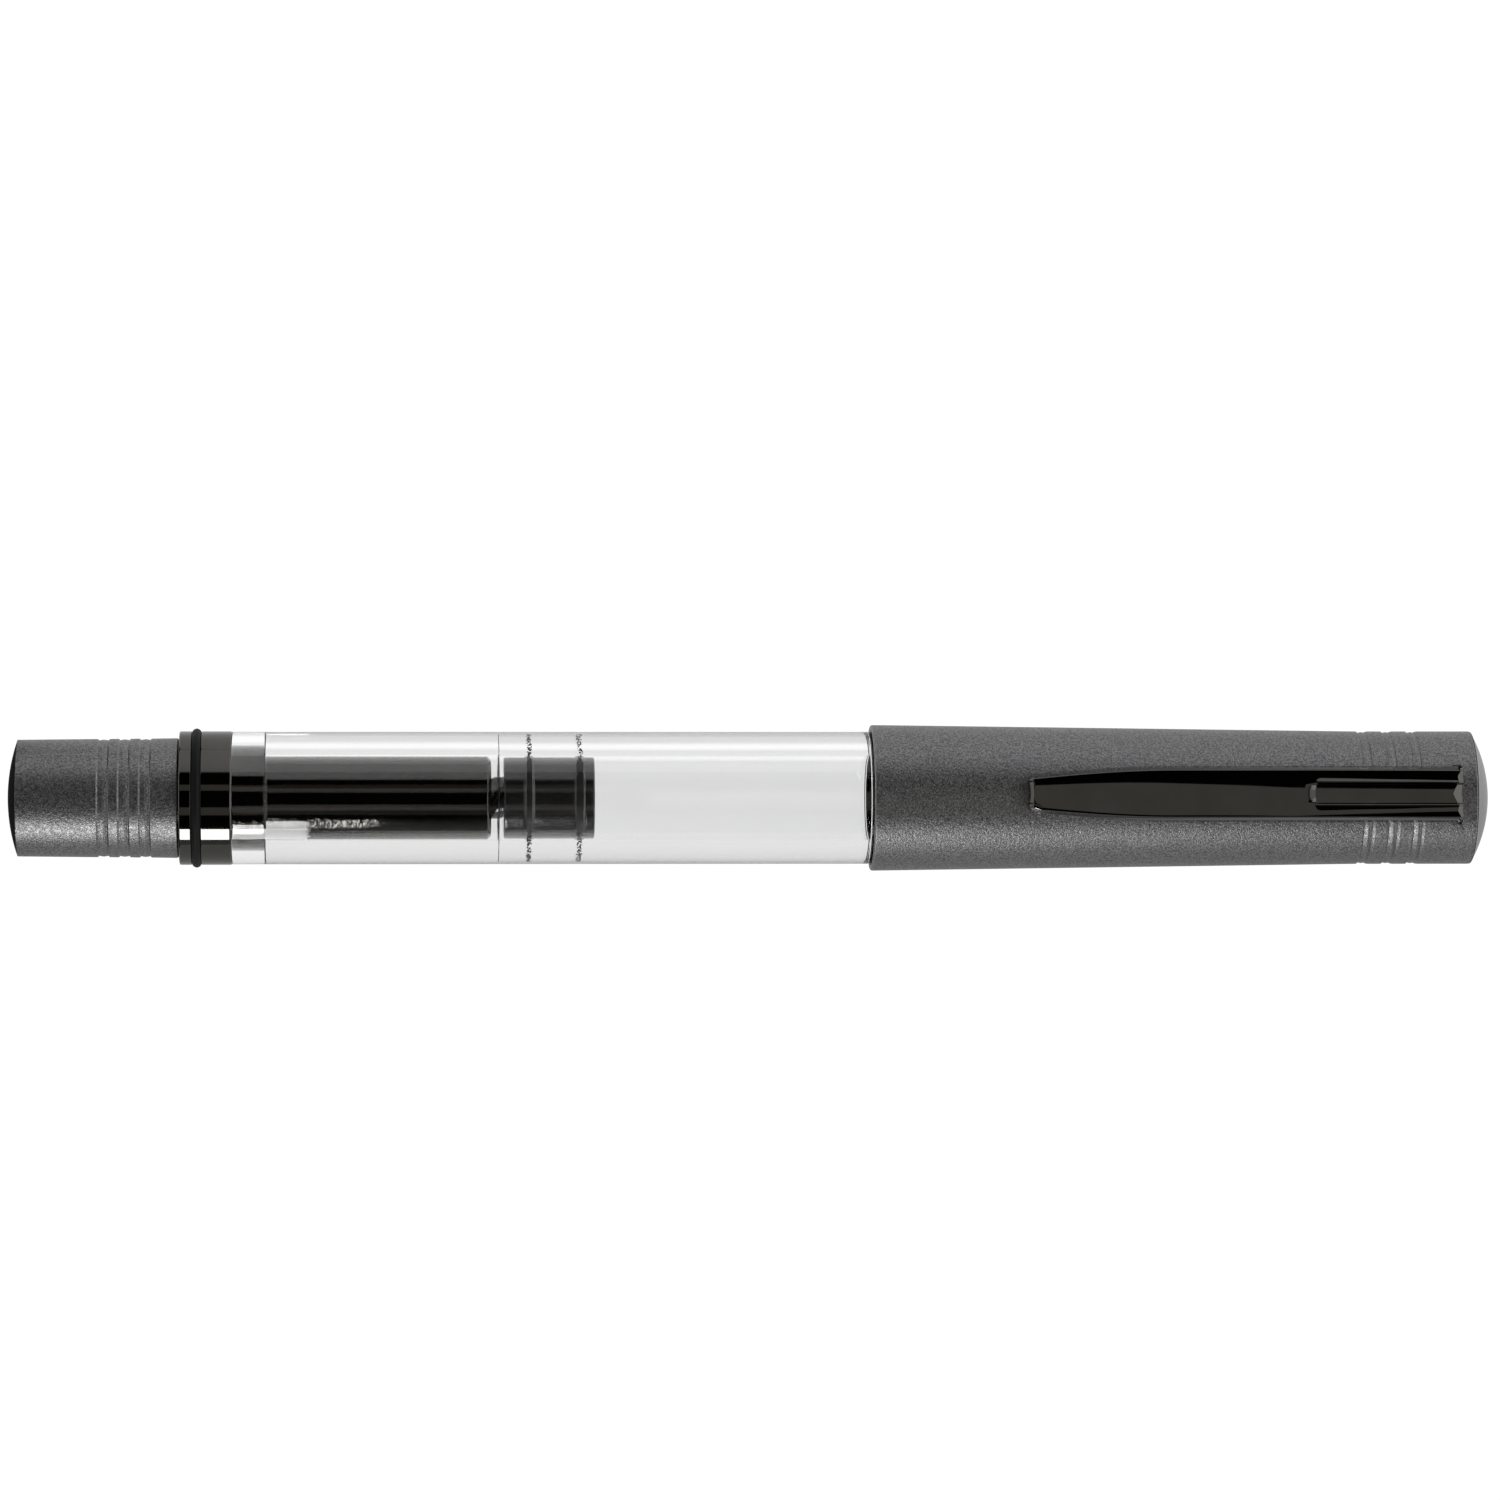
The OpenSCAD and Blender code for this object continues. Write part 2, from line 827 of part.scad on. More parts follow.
// The clip's block seen from the side, lowered by drop and cut to a depth of h
module clip_side(drop, h) {
    steps = 14;
    xs = [for (i = [0:steps]) clip_x + clip_len * i / steps];
    upper = [for (x = xs) [x, clip_top(x) - drop]];
    lower = [for (i = [steps:-1:0]) [xs[i], clip_top(xs[i]) - drop - h]];
    rotate([90, 0, 0])
        linear_extrude(height = 2 * clip_w, center = true)
            polygon(concat(upper, lower));
}

// The clip's outline seen from above, made narrower by inset on each side
module clip_plan(inset) {
    steps = 8;
    taper_xs = [for (i = [0:steps]) clip_x + clip_len / 3 * i / steps];
    xs = concat(taper_xs, [clip_root_x]);
    left = [for (x = xs) [x, clip_half_w(x) - inset]];
    right = [for (i = [len(xs) - 1:-1:0]) [xs[i], inset - clip_half_w(xs[i])]];
    linear_extrude(height = 3 * cap_d_mouth)
        polygon(concat(left, right));
}

module clip() {
    channel_r = clip_channel_w / 2;
    channel_x = clip_root_x - clip_channel_len + channel_r;
    channel_z = clip_top(clip_root_x) - clip_channel_depth;
    tip_len = 2;
    bump_x = clip_x + 1.9;
    bump_gap = 0.05;
    bump_len = clip_w_tip - 0.6;
    leg_x = clip_root_x - clip_leg_t;
    color(black_chrome) {
        difference() {
            intersection() {
                clip_side(0, clip_h);
                clip_plan(0);
            }
            intersection() {
                clip_side(clip_sheet, clip_h);
                clip_plan(clip_sheet);
                translate([clip_x + tip_len, -clip_w, 0])
                    cube([clip_len - tip_len - clip_leg_t, 2 * clip_w, 3 * cap_d_mouth]);
            }
            intersection() {
                clip_side(-1, 1 + clip_channel_depth);
                union() {
                    translate([channel_x, 0, 0])
                        cylinder(r = channel_r, h = 3 * cap_d_mouth);
                    translate([channel_x, -channel_r, 0])
                        cube([clip_channel_len, clip_channel_w, 3 * cap_d_mouth]);
                }
            }
        }
        translate([leg_x, -clip_w / 2, clip_foot_z])
            cube([clip_leg_t, clip_w, channel_z - clip_foot_z]);
        translate([bump_x, 0, cap_r(bump_x) + clip_bump_r + bump_gap])
            rotate([90, 0, 0])
                cylinder(r = clip_bump_r, h = bump_len, center = true);
    }
}

module place() {
    translate([-pen_len / 2, 0, axis_h])
        children();
}

place() knob();
place() knob_end_disc();
place() knob_screw();
place() spindle();
place() drive_nut();
place() spindle_oring();
place() rear_collar();
place() posting_ring();
place() thrust_washer();
place() mechanism_sleeve();
place() guide_bush();
place() barrel();
place() clutch_ring();
place() section();
place() section_oring();
place() nib_housing();
place() nib();
place() nib_point();
place() feed();
place() piston_rod();
place() piston_head();
place() lip_seal(seal_offsets[0]);  // rear_seal
place() lip_seal(seal_offsets[1]);  // front_seal
place() cap_shell();
place() cap_clutch();
place() inner_cap();
place() cap_plug();
place() finial();
place() clip();
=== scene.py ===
import math

import bmesh
import bpy
from mathutils import Matrix, Vector, noise


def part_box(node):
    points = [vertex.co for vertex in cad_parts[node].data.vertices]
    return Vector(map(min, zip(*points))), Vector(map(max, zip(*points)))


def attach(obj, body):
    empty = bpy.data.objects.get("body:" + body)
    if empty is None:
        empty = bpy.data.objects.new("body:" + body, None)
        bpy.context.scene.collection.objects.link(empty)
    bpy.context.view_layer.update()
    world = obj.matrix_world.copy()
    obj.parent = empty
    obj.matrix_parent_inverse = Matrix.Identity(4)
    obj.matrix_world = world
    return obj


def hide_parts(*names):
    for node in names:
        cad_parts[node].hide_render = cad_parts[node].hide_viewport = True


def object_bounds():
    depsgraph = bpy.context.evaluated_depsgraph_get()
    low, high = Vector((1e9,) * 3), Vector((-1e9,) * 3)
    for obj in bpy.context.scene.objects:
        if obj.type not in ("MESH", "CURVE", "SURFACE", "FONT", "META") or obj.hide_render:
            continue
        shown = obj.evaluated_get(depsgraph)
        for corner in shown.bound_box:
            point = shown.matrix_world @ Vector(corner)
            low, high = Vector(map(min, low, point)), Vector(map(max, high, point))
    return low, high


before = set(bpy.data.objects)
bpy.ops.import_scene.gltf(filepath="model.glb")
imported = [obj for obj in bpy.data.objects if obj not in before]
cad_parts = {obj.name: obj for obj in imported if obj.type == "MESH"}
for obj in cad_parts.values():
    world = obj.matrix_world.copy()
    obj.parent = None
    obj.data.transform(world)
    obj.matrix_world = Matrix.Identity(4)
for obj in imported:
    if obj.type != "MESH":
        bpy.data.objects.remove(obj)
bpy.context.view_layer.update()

MM = 0.001
SIDES = 192

# Stations are measured in millimetres from the knob's outer end, as on the part's drawing
END_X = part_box("knob_end_disc")[0].x
AXIS_Z = (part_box("barrel")[0].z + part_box("barrel")[1].z) / 2


def span(node):
    """First and last station of a CAD node, in mm."""
    lo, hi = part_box(node)
    return (lo.x - END_X) / MM, (hi.x - END_X) / MM


def middle(node):
    """Station of a CAD node's middle, in mm."""
    return sum(span(node)) / 2


def outer_r(node):
    """Largest radius of a CAD node that is round about the axis, in mm."""
    lo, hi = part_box(node)
    return (hi.y - lo.y) / 2 / MM


def add_object(name, data):
    obj = bpy.data.objects.new(name, data)
    bpy.context.scene.collection.objects.link(obj)
    return obj


# ---------------------------------------------------------------- mesh helpers


def new_bmesh():
    """An empty bmesh, and its layer that marks how worn each point is."""
    bm = bmesh.new()
    return bm, bm.verts.layers.float.new("wear")


def on_circle(x, r, turn):
    """Place at station x and radius r (mm) about the pen's axis, turned from +Y by an angle."""
    return Vector((END_X + x * MM, r * MM * math.cos(turn), AXIS_Z + r * MM * math.sin(turn)))


def rounded(corners, steps=4):
    """Closed outline from corners (station, radius, fillet): each fillet becomes an arc that shows
    wear, with a point on the flat at either side of it that keeps the flat's shading flat."""
    outline = []
    guard_gap, least_gap, most_guard = 0.03, 0.004, 0.49
    sharpest, most_of_side = 0.05, 0.48
    for i, (x, r, fillet) in enumerate(corners):
        here = Vector((x, r))
        back = Vector(corners[i - 1][:2]) - here
        on = Vector(corners[(i + 1) % len(corners)][:2]) - here
        if fillet <= 0:
            outline.append((x, r, 0.0))
            continue
        half = max(back.angle(on) / 2, sharpest)
        cut = min(fillet / math.tan(half), most_of_side * back.length, most_of_side * on.length)
        start = here + back.normalized() * cut
        end = here + on.normalized() * cut
        guards = []
        for arm in (back, on):
            guard = min(cut + guard_gap, most_guard * arm.length)
            guards.append(here + arm.normalized() * guard if guard > cut + least_gap else None)
        if guards[0] is not None:
            outline.append((*guards[0], 0.0))
        for k in range(steps + 1):
            t = k / steps
            point = start * (1 - t) ** 2 + here * 2 * t * (1 - t) + end * t * t
            outline.append((point.x, point.y, math.sin(math.pi * (k + 0.5) / (steps + 1))))
        if guards[1] is not None:
            outline.append((*guards[1], 0.0))
    return outline


def dome_outline(edge_x, apex_x, radius, steps=16):
    """Outline points of a shallow dome, from its edge to its apex."""
    height = abs(apex_x - edge_x)
    sphere = (radius**2 + height**2) / (2 * height)
    side = 1 if apex_x > edge_x else -1
    half = math.asin(radius / sphere)
    points = []
    for k in range(steps + 1):
        a = half * (1 - k / steps)
        points.append((apex_x - side * sphere * (1 - math.cos(a)), sphere * math.sin(a), 0.0))
    return points


def new_object(name, bm, sharp_deg=35):
    """Object from a bmesh: smooth faces, with edges over sharp_deg left sharp."""
    bmesh.ops.recalc_face_normals(bm, faces=bm.faces)
    for face in bm.faces:
        face.smooth = True
    for edge in bm.edges:
        if len(edge.link_faces) == 2 and edge.calc_face_angle(0) > math.radians(sharp_deg):
            edge.smooth = False
    mesh = bpy.data.meshes.new(name)
    bm.to_mesh(mesh)
    bm.free()
    obj = add_object(name, mesh)
    weighted = obj.modifiers.new("weighted_normals", "WEIGHTED_NORMAL")
    weighted.keep_sharp = True
    return obj


def lathe(name, outline, sides=SIDES, close=True):
    """Solid turned about the pen's axis from outline points (station mm, radius mm, wear)."""
    bm, wear = new_bmesh()
    rings = []
    for i in range(sides):
        ring = []
        for x, r, w in outline:
            vert = bm.verts.new(on_circle(x, r, 2 * math.pi * i / sides))
            vert[wear] = w
            ring.append(vert)
        rings.append(ring)
    count = len(outline)
    for i in range(sides):
        a, b = rings[i], rings[(i + 1) % sides]
        for k in range(count if close else count - 1):
            m = (k + 1) % count
            bm.faces.new((a[k], a[m], b[m], b[k]))
    bmesh.ops.remove_doubles(bm, verts=bm.verts, dist=1e-8)
    return new_object(name, bm)


def torus(name, x, centre_r, tube_r, tube_sides, mould_line):
    """Round rubber ring, with the height of the thin mould line on its outer side."""
    outline = []
    for k in range(tube_sides):
        a = 2 * math.pi * k / tube_sides
        grow = mould_line if k == 0 else 0.0
        outline.append((x + tube_r * math.sin(a), centre_r + (tube_r + grow) * math.cos(a), 0.0))
    return lathe(name, outline)


def thicken(obj, thickness):
    """Makes a sheet of an open surface, on its inner side, thickness in mm."""
    solid = obj.modifiers.new("sheet", "SOLIDIFY")
    solid.thickness = thickness * MM
    solid.offset = -1


def dress(obj, material, body, slot, *nodes):
    """Gives a piece its finish and its body, and hides the CAD nodes it stands for. The slot argument is
    not used.
    """
    obj.data.materials.clear()
    obj.data.materials.append(material)
    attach(obj, body)
    if nodes:
        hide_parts(*nodes)
    return obj


def turned(name, corners, material, body, slot, node, sides=SIDES, steps=4):
    """A piece turned from filleted corners, which stands for one CAD node."""
    return dress(lathe(name, rounded(corners, steps), sides), material, body, slot, node)


# ------------------------------------------------------------------- materials


def maths(tree, operation, *values):
    """Output of a maths node over outputs and plain numbers."""
    made = tree.nodes.new("ShaderNodeMath")
    made.operation = operation
    for value, socket in zip(values, made.inputs):
        if isinstance(value, bpy.types.NodeSocket):
            tree.links.new(value, socket)
        else:
            socket.default_value = value
    return made.outputs[0]


def between(tree, value, low, high):
    """0 where the value is at low, 1 where it is at high, clamped."""
    made = tree.nodes.new("ShaderNodeMapRange")
    made.inputs["From Min"].default_value = low
    made.inputs["From Max"].default_value = high
    tree.links.new(value, made.inputs["Value"])
    return made.outputs["Result"]


def colour_ramp(tree, fac, stops):
    """Colour ramp from stops (position, grey or colour)."""
    made = tree.nodes.new("ShaderNodeValToRGB")
    elements = made.color_ramp.elements
    while len(elements) < len(stops):
        elements.new(0.5)
    for element, (position, value) in zip(elements, stops):
        element.position = position
        rgb = (value,) * 3 if isinstance(value, (int, float)) else value
        element.color = (*rgb, 1)
    tree.links.new(fac, made.inputs["Fac"])
    return made.outputs["Color"]


def mix_colours(tree, fac, a, b):
    """Mix of two colours, each an output or a plain colour."""
    made = tree.nodes.new("ShaderNodeMix")
    made.data_type = "RGBA"
    for value, socket in ((fac, made.inputs[0]), (a, made.inputs[6]), (b, made.inputs[7])):
        if isinstance(value, bpy.types.NodeSocket):
            tree.links.new(value, socket)
        else:
            socket.default_value = (*value, 1)
    return made.outputs[2]


class Finish:
    """A Principled material with helpers for its procedural detail."""

    def __init__(self, name, **sockets):
        self.material = bpy.data.materials.new(name)
        self.material.use_nodes = True
        self.tree = self.material.node_tree
        self.shader = self.tree.nodes["Principled BSDF"]
        self.output = self.tree.nodes["Material Output"]
        for socket, value in sockets.items():
            self.shader.inputs[socket.replace("_", " ")].default_value = value
        self.coords = self.tree.nodes.new("ShaderNodeTexCoord").outputs["Object"]

    def node(self, kind, **inputs):
        made = self.tree.nodes.new("ShaderNode" + kind)
        for socket, value in inputs.items():
            made.inputs[socket.replace("_", " ")].default_value = value
        return made

    def link(self, out, into):
        self.tree.links.new(out, into)

    def noise(self, size_mm, detail=2.0, roughness=0.5, stretch=(1, 1, 1), offset=0.0):
        """Noise whose grain is size_mm, longer along an axis where stretch is over 1."""
        mapping = self.node("Mapping")
        mapping.inputs["Scale"].default_value = tuple(1 / (size_mm * MM * s) for s in stretch)
        mapping.inputs["Location"].default_value = (offset, offset, offset)
        self.link(self.coords, mapping.inputs["Vector"])
        texture = self.node("TexNoise", Scale=1.0, Detail=detail, Roughness=roughness)
        self.link(mapping.outputs["Vector"], texture.inputs["Vector"])
        return texture.outputs["Fac"]

    def ramp(self, fac, stops):
        return colour_ramp(self.tree, fac, stops)

    def wear(self):
        """How much of an exposed edge a point is, from 0 to 1: as marked, or as its shape shows."""
        attribute = self.node("Attribute")
        attribute.attribute_name = "wear"
        shape = self.node("NewGeometry")
        exposed = self.between(shape.outputs["Pointiness"], 0.54, 0.64)
        return maths(self.tree, "MAXIMUM", attribute.outputs["Fac"], exposed)

    def rubbed(self, base, worn, most):
        """The base colour, turning to the worn one along the edges."""
        return self.mix(self.product(self.wear(), most), base, worn)

    def mix(self, fac, a, b):
        return mix_colours(self.tree, fac, a, b)

    def between(self, value, low, high):
        return between(self.tree, value, low, high)

    def product(self, *values):
        total = values[0]
        for value in values[1:]:
            total = maths(self.tree, "MULTIPLY", total, value)
        return total

    def place(self):
        """The point's own place on the object, by axis."""
        split = self.node("SeparateXYZ")
        self.link(self.coords, split.inputs[0])
        return split.outputs

    def colour(self, out):
        self.link(out, self.shader.inputs["Base Color"])

    def roughness(self, out):
        self.link(out, self.shader.inputs["Roughness"])

    def bump(self, *layers):
        """Bump from layers (height, distance in mm, strength), the coarsest first."""
        normal = None
        for height, distance, strength in layers:
            made = self.node("Bump", Distance=distance * MM, Strength=strength)
            self.link(height, made.inputs["Height"])
            if normal is not None:
                self.link(normal, made.inputs["Normal"])
            normal = made.outputs["Normal"]
        self.link(normal, self.shader.inputs["Normal"])
        return normal


def blasted_gunmetal():
    f = Finish("blasted_gunmetal", Metallic=1.0)
    grain = f.noise(0.16, detail=2.0, roughness=0.6)
    pits = f.noise(0.34, detail=2.0, roughness=0.6, offset=3.1)
    cloud = f.noise(9, detail=3, offset=7.7)
    base = f.ramp(grain, ((0.41, (0.138, 0.138, 0.141)), (0.59, (0.3, 0.3, 0.303))))
    base = f.mix(f.ramp(cloud, ((0.35, 0.0), (0.65, 0.14))), base, (0.2, 0.2, 0.205))
    f.colour(f.rubbed(base, (0.34, 0.34, 0.34), 0.35))
    f.roughness(f.ramp(pits, ((0.35, 0.34), (0.65, 0.48))))
    f.bump((pits, 0.03, 0.6), (grain, 0.035, 0.95))
    return f.material


def black_chrome(name, specked=False):
    """Polished black chrome. Specked adds dark specks to the colour, only on the near side of the sleeve's
    rear end and of the collar's spigot, where they break up the highlight."""
    f = Finish(name, Metallic=1.0)
    haze = f.noise(4, detail=4, roughness=0.6)
    scratch = f.noise(0.09, detail=2, stretch=(1, 14, 14), offset=1.3)
    base = f.ramp(haze, ((0.3, (0.098, 0.096, 0.091)), (0.7, (0.118, 0.115, 0.108))))
    base = f.rubbed(base, (0.2, 0.196, 0.186), 0.4)
    f.roughness(f.ramp(haze, ((0.35, 0.04), (0.7, 0.07))))
    if specked:
        place = f.place()
        rear = f.between(place["X"], -0.034, -0.041)
        front = f.between(place["X"], -0.0487, -0.0481)
        near = f.between(place["Y"], -0.0012, -0.002)
        # Dark specks in the colour, on the near side only, which break up the highlight there
        speck_noise = f.noise(0.3, detail=2.0, roughness=0.7, stretch=(1, 1.5, 1.5), offset=6.0)
        speck_area = f.product(rear, front, near)
        specks = f.product(f.ramp(speck_noise, ((0.44, 0.0), (0.56, 1.0))), speck_area)
        base = f.mix(specks, base, (0.016, 0.016, 0.016))
        f.bump((scratch, 0.002, 0.12), (f.product(speck_noise, speck_area), 0.05, 1.0))
    else:
        f.bump((scratch, 0.002, 0.12))
    f.colour(base)
    return f.material


def end_disc_black():
    f = Finish("end_disc_black", IOR=1.3, Specular_IOR_Level=0.06)
    haze = f.noise(2.5, detail=4)
    f.colour(f.rubbed(f.ramp(haze, ((0.3, 0.006), (0.7, 0.011))), (0.03, 0.03, 0.03), 0.5))
    f.roughness(f.ramp(haze, ((0.3, 0.3), (0.7, 0.42))))
    f.bump((f.noise(0.25, detail=3), 0.002, 0.15))
    return f.material


def finial_satin():
    f = Finish("finial_satin", Metallic=1.0)
    grain = f.noise(0.1, detail=3, roughness=0.6, offset=2.2)
    base = f.ramp(grain, ((0.3, (0.34, 0.34, 0.345)), (0.7, (0.43, 0.43, 0.435))))
    f.colour(f.rubbed(base, (0.55, 0.55, 0.555), 0.4))
    f.roughness(f.ramp(f.noise(1.2, detail=3), ((0.3, 0.30), (0.7, 0.38))))
    f.bump((grain, 0.006, 0.4))
    return f.material


def clear_acrylic():
    f = Finish("clear_acrylic", Transmission_Weight=1.0, IOR=1.49, Specular_IOR_Level=0.5)
    streak = f.noise(0.55, detail=3, roughness=0.65, stretch=(90, 1, 1))
    haze = f.noise(6, detail=3, offset=5.0)
    f.colour(f.ramp(haze, ((0.3, (0.965, 0.967, 0.968)), (0.7, (0.98, 0.981, 0.982)))))
    smooth = f.ramp(haze, ((0.35, 0.0), (0.75, 0.012)))
    f.roughness(f.mix(f.product(f.wear(), 0.6), smooth, (0.2, 0.2, 0.2)))
    f.bump((streak, 0.005, 0.42))
    smoke = f.node("VolumeAbsorption", Density=44.0)
    smoke.inputs["Color"].default_value = (0.0, 0.0, 0.0, 1)
    f.link(smoke.outputs["Volume"], f.output.inputs["Volume"])
    clear = f.node("BsdfTransparent")
    clear.inputs["Color"].default_value = (0.9, 0.9, 0.905, 1)
    path = f.node("LightPath")
    mixed = f.node("MixShader")
    f.link(path.outputs["Is Shadow Ray"], mixed.inputs[0])
    f.link(f.shader.outputs[0], mixed.inputs[1])
    f.link(clear.outputs[0], mixed.inputs[2])
    f.link(mixed.outputs[0], f.output.inputs["Surface"])
    return f.material


def rubber(name, grey, rough, ior=1.5):
    f = Finish(name, IOR=ior)
    grain = f.noise(0.12, detail=3, roughness=0.65)
    base = f.ramp(f.noise(1.5, detail=3), ((0.3, grey * 0.75), (0.7, grey * 1.25)))
    f.colour(f.rubbed(base, (grey * 2.5,) * 3, 0.4))
    f.roughness(f.ramp(grain, ((0.3, rough - 0.08), (0.7, rough + 0.08))))
    f.bump((grain, 0.008, 0.35))
    return f.material


def turned_metal(name, dark, light, rough):
    """Metal with the fine rings that turning leaves on it."""
    f = Finish(name, Metallic=1.0)
    rings = f.noise(0.06, detail=2, stretch=(1, 60, 60))
    base = f.ramp(f.noise(1.1, detail=3), ((0.3, dark), (0.7, light)))
    f.colour(f.rubbed(base, tuple(min(1.0, v * 1.25) for v in light), 0.4))
    f.roughness(f.ramp(rings, ((0.3, rough - 0.06), (0.7, rough + 0.08))))
    f.bump((rings, 0.003, 0.4))
    return f.material


def moulded_plastic(name, grey, rough, ior=1.5):
    f = Finish(name, IOR=ior)
    grain = f.noise(0.2, detail=3, roughness=0.6)
    base = f.ramp(f.noise(3, detail=3), ((0.3, grey * 0.8), (0.7, grey * 1.2)))
    f.colour(f.rubbed(base, (grey * 2.5,) * 3, 0.3))
    f.roughness(f.ramp(grain, ((0.3, rough - 0.05), (0.7, rough + 0.07))))
    f.bump((grain, 0.002, 0.2))
    return f.material


def polished_steel():
    f = Finish("nib_steel", Metallic=1.0)
    brush = f.noise(0.05, detail=2, stretch=(40, 1, 1))
    base = f.ramp(f.noise(2, detail=3), ((0.3, (0.60, 0.60, 0.61)), (0.7, (0.68, 0.68, 0.69))))
    f.colour(f.rubbed(base, (0.78, 0.78, 0.79), 0.4))
    f.roughness(f.ramp(brush, ((0.3, 0.10), (0.7, 0.2))))
    f.bump((brush, 0.002, 0.3))
    return f.material


# ------------------------------------------------------------- knob and collar

BAND_COUNT = 3
# One grip band, as (share of its width, depth in mm, fillet): the knob's is even about its middle
HALF_BAND = ((0, 0, 0.03), (0.12, 0.125, 0.03), (0.3, 0.085, 0.1), (0.5, 0.055, 0.2))
KNOB_BAND = HALF_BAND + tuple((1 - share, depth, fillet) for share, depth, fillet in HALF_BAND[-2::-1])
CAP_BAND = HALF_BAND + (
    (0.66, 0.08, 0.1),
    (0.8, 0.125, 0.03),
    (0.88, 0.035, 0.03),
    (1.12, 0, 0.2),
)


def grooved(band_profile, first, pitch, width, deep, radius_at):
    """Outline corners of the grip bands: in each, two grooves with a low round between them."""
    corners = []
    for band in range(BAND_COUNT):
        x = first + band * pitch
        for share, depth, fillet in band_profile:
            corners.append((x + share * width, radius_at(x) - depth * deep, fillet))
    return corners


def build_knob(metal):
    x0, x1 = span("knob")
    base_r, taper = outer_r("knob"), 0.15
    end_r = base_r - taper
    recess_r, recess_x = 4.7, x0 + 0.66
    web_x, screw_r, bore_r = recess_x + 3, 1.2, 3.25

    def radius_at(x):
        return end_r + (base_r - end_r) * (x - x0) / (x1 - x0)

    corners = [(x0, end_r, 0.06)]
    first, pitch, width, deep = 8.38, 1.95, 1.13, 1.0
    corners += grooved(KNOB_BAND, first, pitch, width, deep, radius_at)
    corners += [(x1, base_r, 0.14), (x1, bore_r, 0.05), (web_x, bore_r, 0)]
    corners += [(web_x, screw_r, 0), (recess_x, screw_r, 0), (recess_x, recess_r, 0)]
    corners += [(x0, recess_r, 0.05)]
    return turned("filling_knob_shell", corners, metal, "filling_knob", "blasted_gunmetal", "knob")


def build_end_disc(black):
    x0, x1 = span("knob_end_disc")
    radius = outer_r("knob_end_disc")
    edge_x = span("knob")[0]
    plug_r = 4.64
    outline = [(edge_x, plug_r, 0.0), (edge_x, radius - 0.04, 0.5)]
    outline += dome_outline(edge_x, x0, radius)[1:]
    outline += [(x1, 0.0, 0.0), (x1, plug_r, 0.0)]
    disc = lathe("knob_end_disc_piece", outline)
    return dress(disc, black, "filling_knob", "end_disc_black", "knob_end_disc")


def build_collar(chrome):
    x0, x1 = span("rear_collar")
    r = outer_r("rear_collar")
    joint_x = span("barrel")[0]
    ring_x = middle("posting_ring")
    seat_half, seat_r = 0.46, 5.44
    spigot_r, bore_r, bearing_r, bearing_x = 4.93, 4.3, 3.28, 19.0
    corners = [
        (x0, bearing_r, 0.05),
        (x0, r, 0.16),
        (ring_x - seat_half, r, 0.06),
        (ring_x - seat_half, seat_r, 0.1),
        (ring_x + seat_half, seat_r, 0.1),
        (ring_x + seat_half, r, 0.06),
        (joint_x, r, 0.16),
        (joint_x, spigot_r, 0.02),
        (x1, spigot_r, 0.08),
        (x1, bore_r, 0.05),
        (bearing_x, bore_r, 0),
        (bearing_x, bearing_r, 0),
    ]
    return turned("rear_collar_piece", corners, chrome, "pen_barrel", "black_chrome", "rear_collar")


def build_posting_ring(material):
    tube_r, tube_sides, mould_line = 0.46, 32, 0.012
    centre_r = outer_r("posting_ring") - tube_r
    ring = torus("posting_ring_piece", middle("posting_ring"), centre_r, tube_r, tube_sides, mould_line)
    return dress(ring, material, "pen_barrel", "seal_rubber", "posting_ring")


# ------------------------------------------------------- barrel and mechanism

# From the sleeve's front end to the step in the barrel's bore
BORE_STEP = 0.71


def build_barrel(glass):
    x0, x1 = span("barrel")
    r = outer_r("barrel")
    shoulder = span("cap_shell")[0] - 0.2
    mouth_r, mouth_end = 4.97, x0 + 3.1
    rear_r, bore_r = 4.1, 4.0
    step_x = span("mechanism_sleeve")[1] + BORE_STEP
    front_r, front_bore_r, front_bore_x = 5.6, 4.6, shoulder + 1
    corners = [
        (x0, mouth_r, 0.05),
        (x0, r, 0.1),
        (shoulder, r, 0.1),
        (shoulder, front_r, 0.04),
        (x1, front_r, 0.06),
        (x1, front_bore_r, 0.06),
        (front_bore_x, front_bore_r, 0.05),
        (front_bore_x, bore_r, 0.04),
        (step_x, bore_r, 0.03),
        (step_x, rear_r, 0.03),
        (mouth_end, rear_r, 0.08),
        (mouth_end, mouth_r, 0.08),
    ]
    return turned("clear_barrel", corners, glass, "pen_barrel", "clear_acrylic", "barrel", sides=320)


def build_sleeve(chrome):
    x0, x1 = span("mechanism_sleeve")
    seat_r, tube_r, bore_r = 4.25, 3.9, 3.3
    waist = span("rear_collar")[1] - 0.05
    corners = [
        (x0, bore_r, 0.03),
        (x0, seat_r, 0.05),
        (waist, seat_r, 0.08),
        (waist + 0.25, tube_r, 0.1),
        (x1 - 0.35, tube_r, 0.15),
        (x1, tube_r - 0.35, 0.1),
        (x1, bore_r, 0.05),
    ]
    name, node = "mechanism_sleeve_piece", "mechanism_sleeve"
    return turned(name, corners, chrome, "pen_barrel", "black_chrome", node)


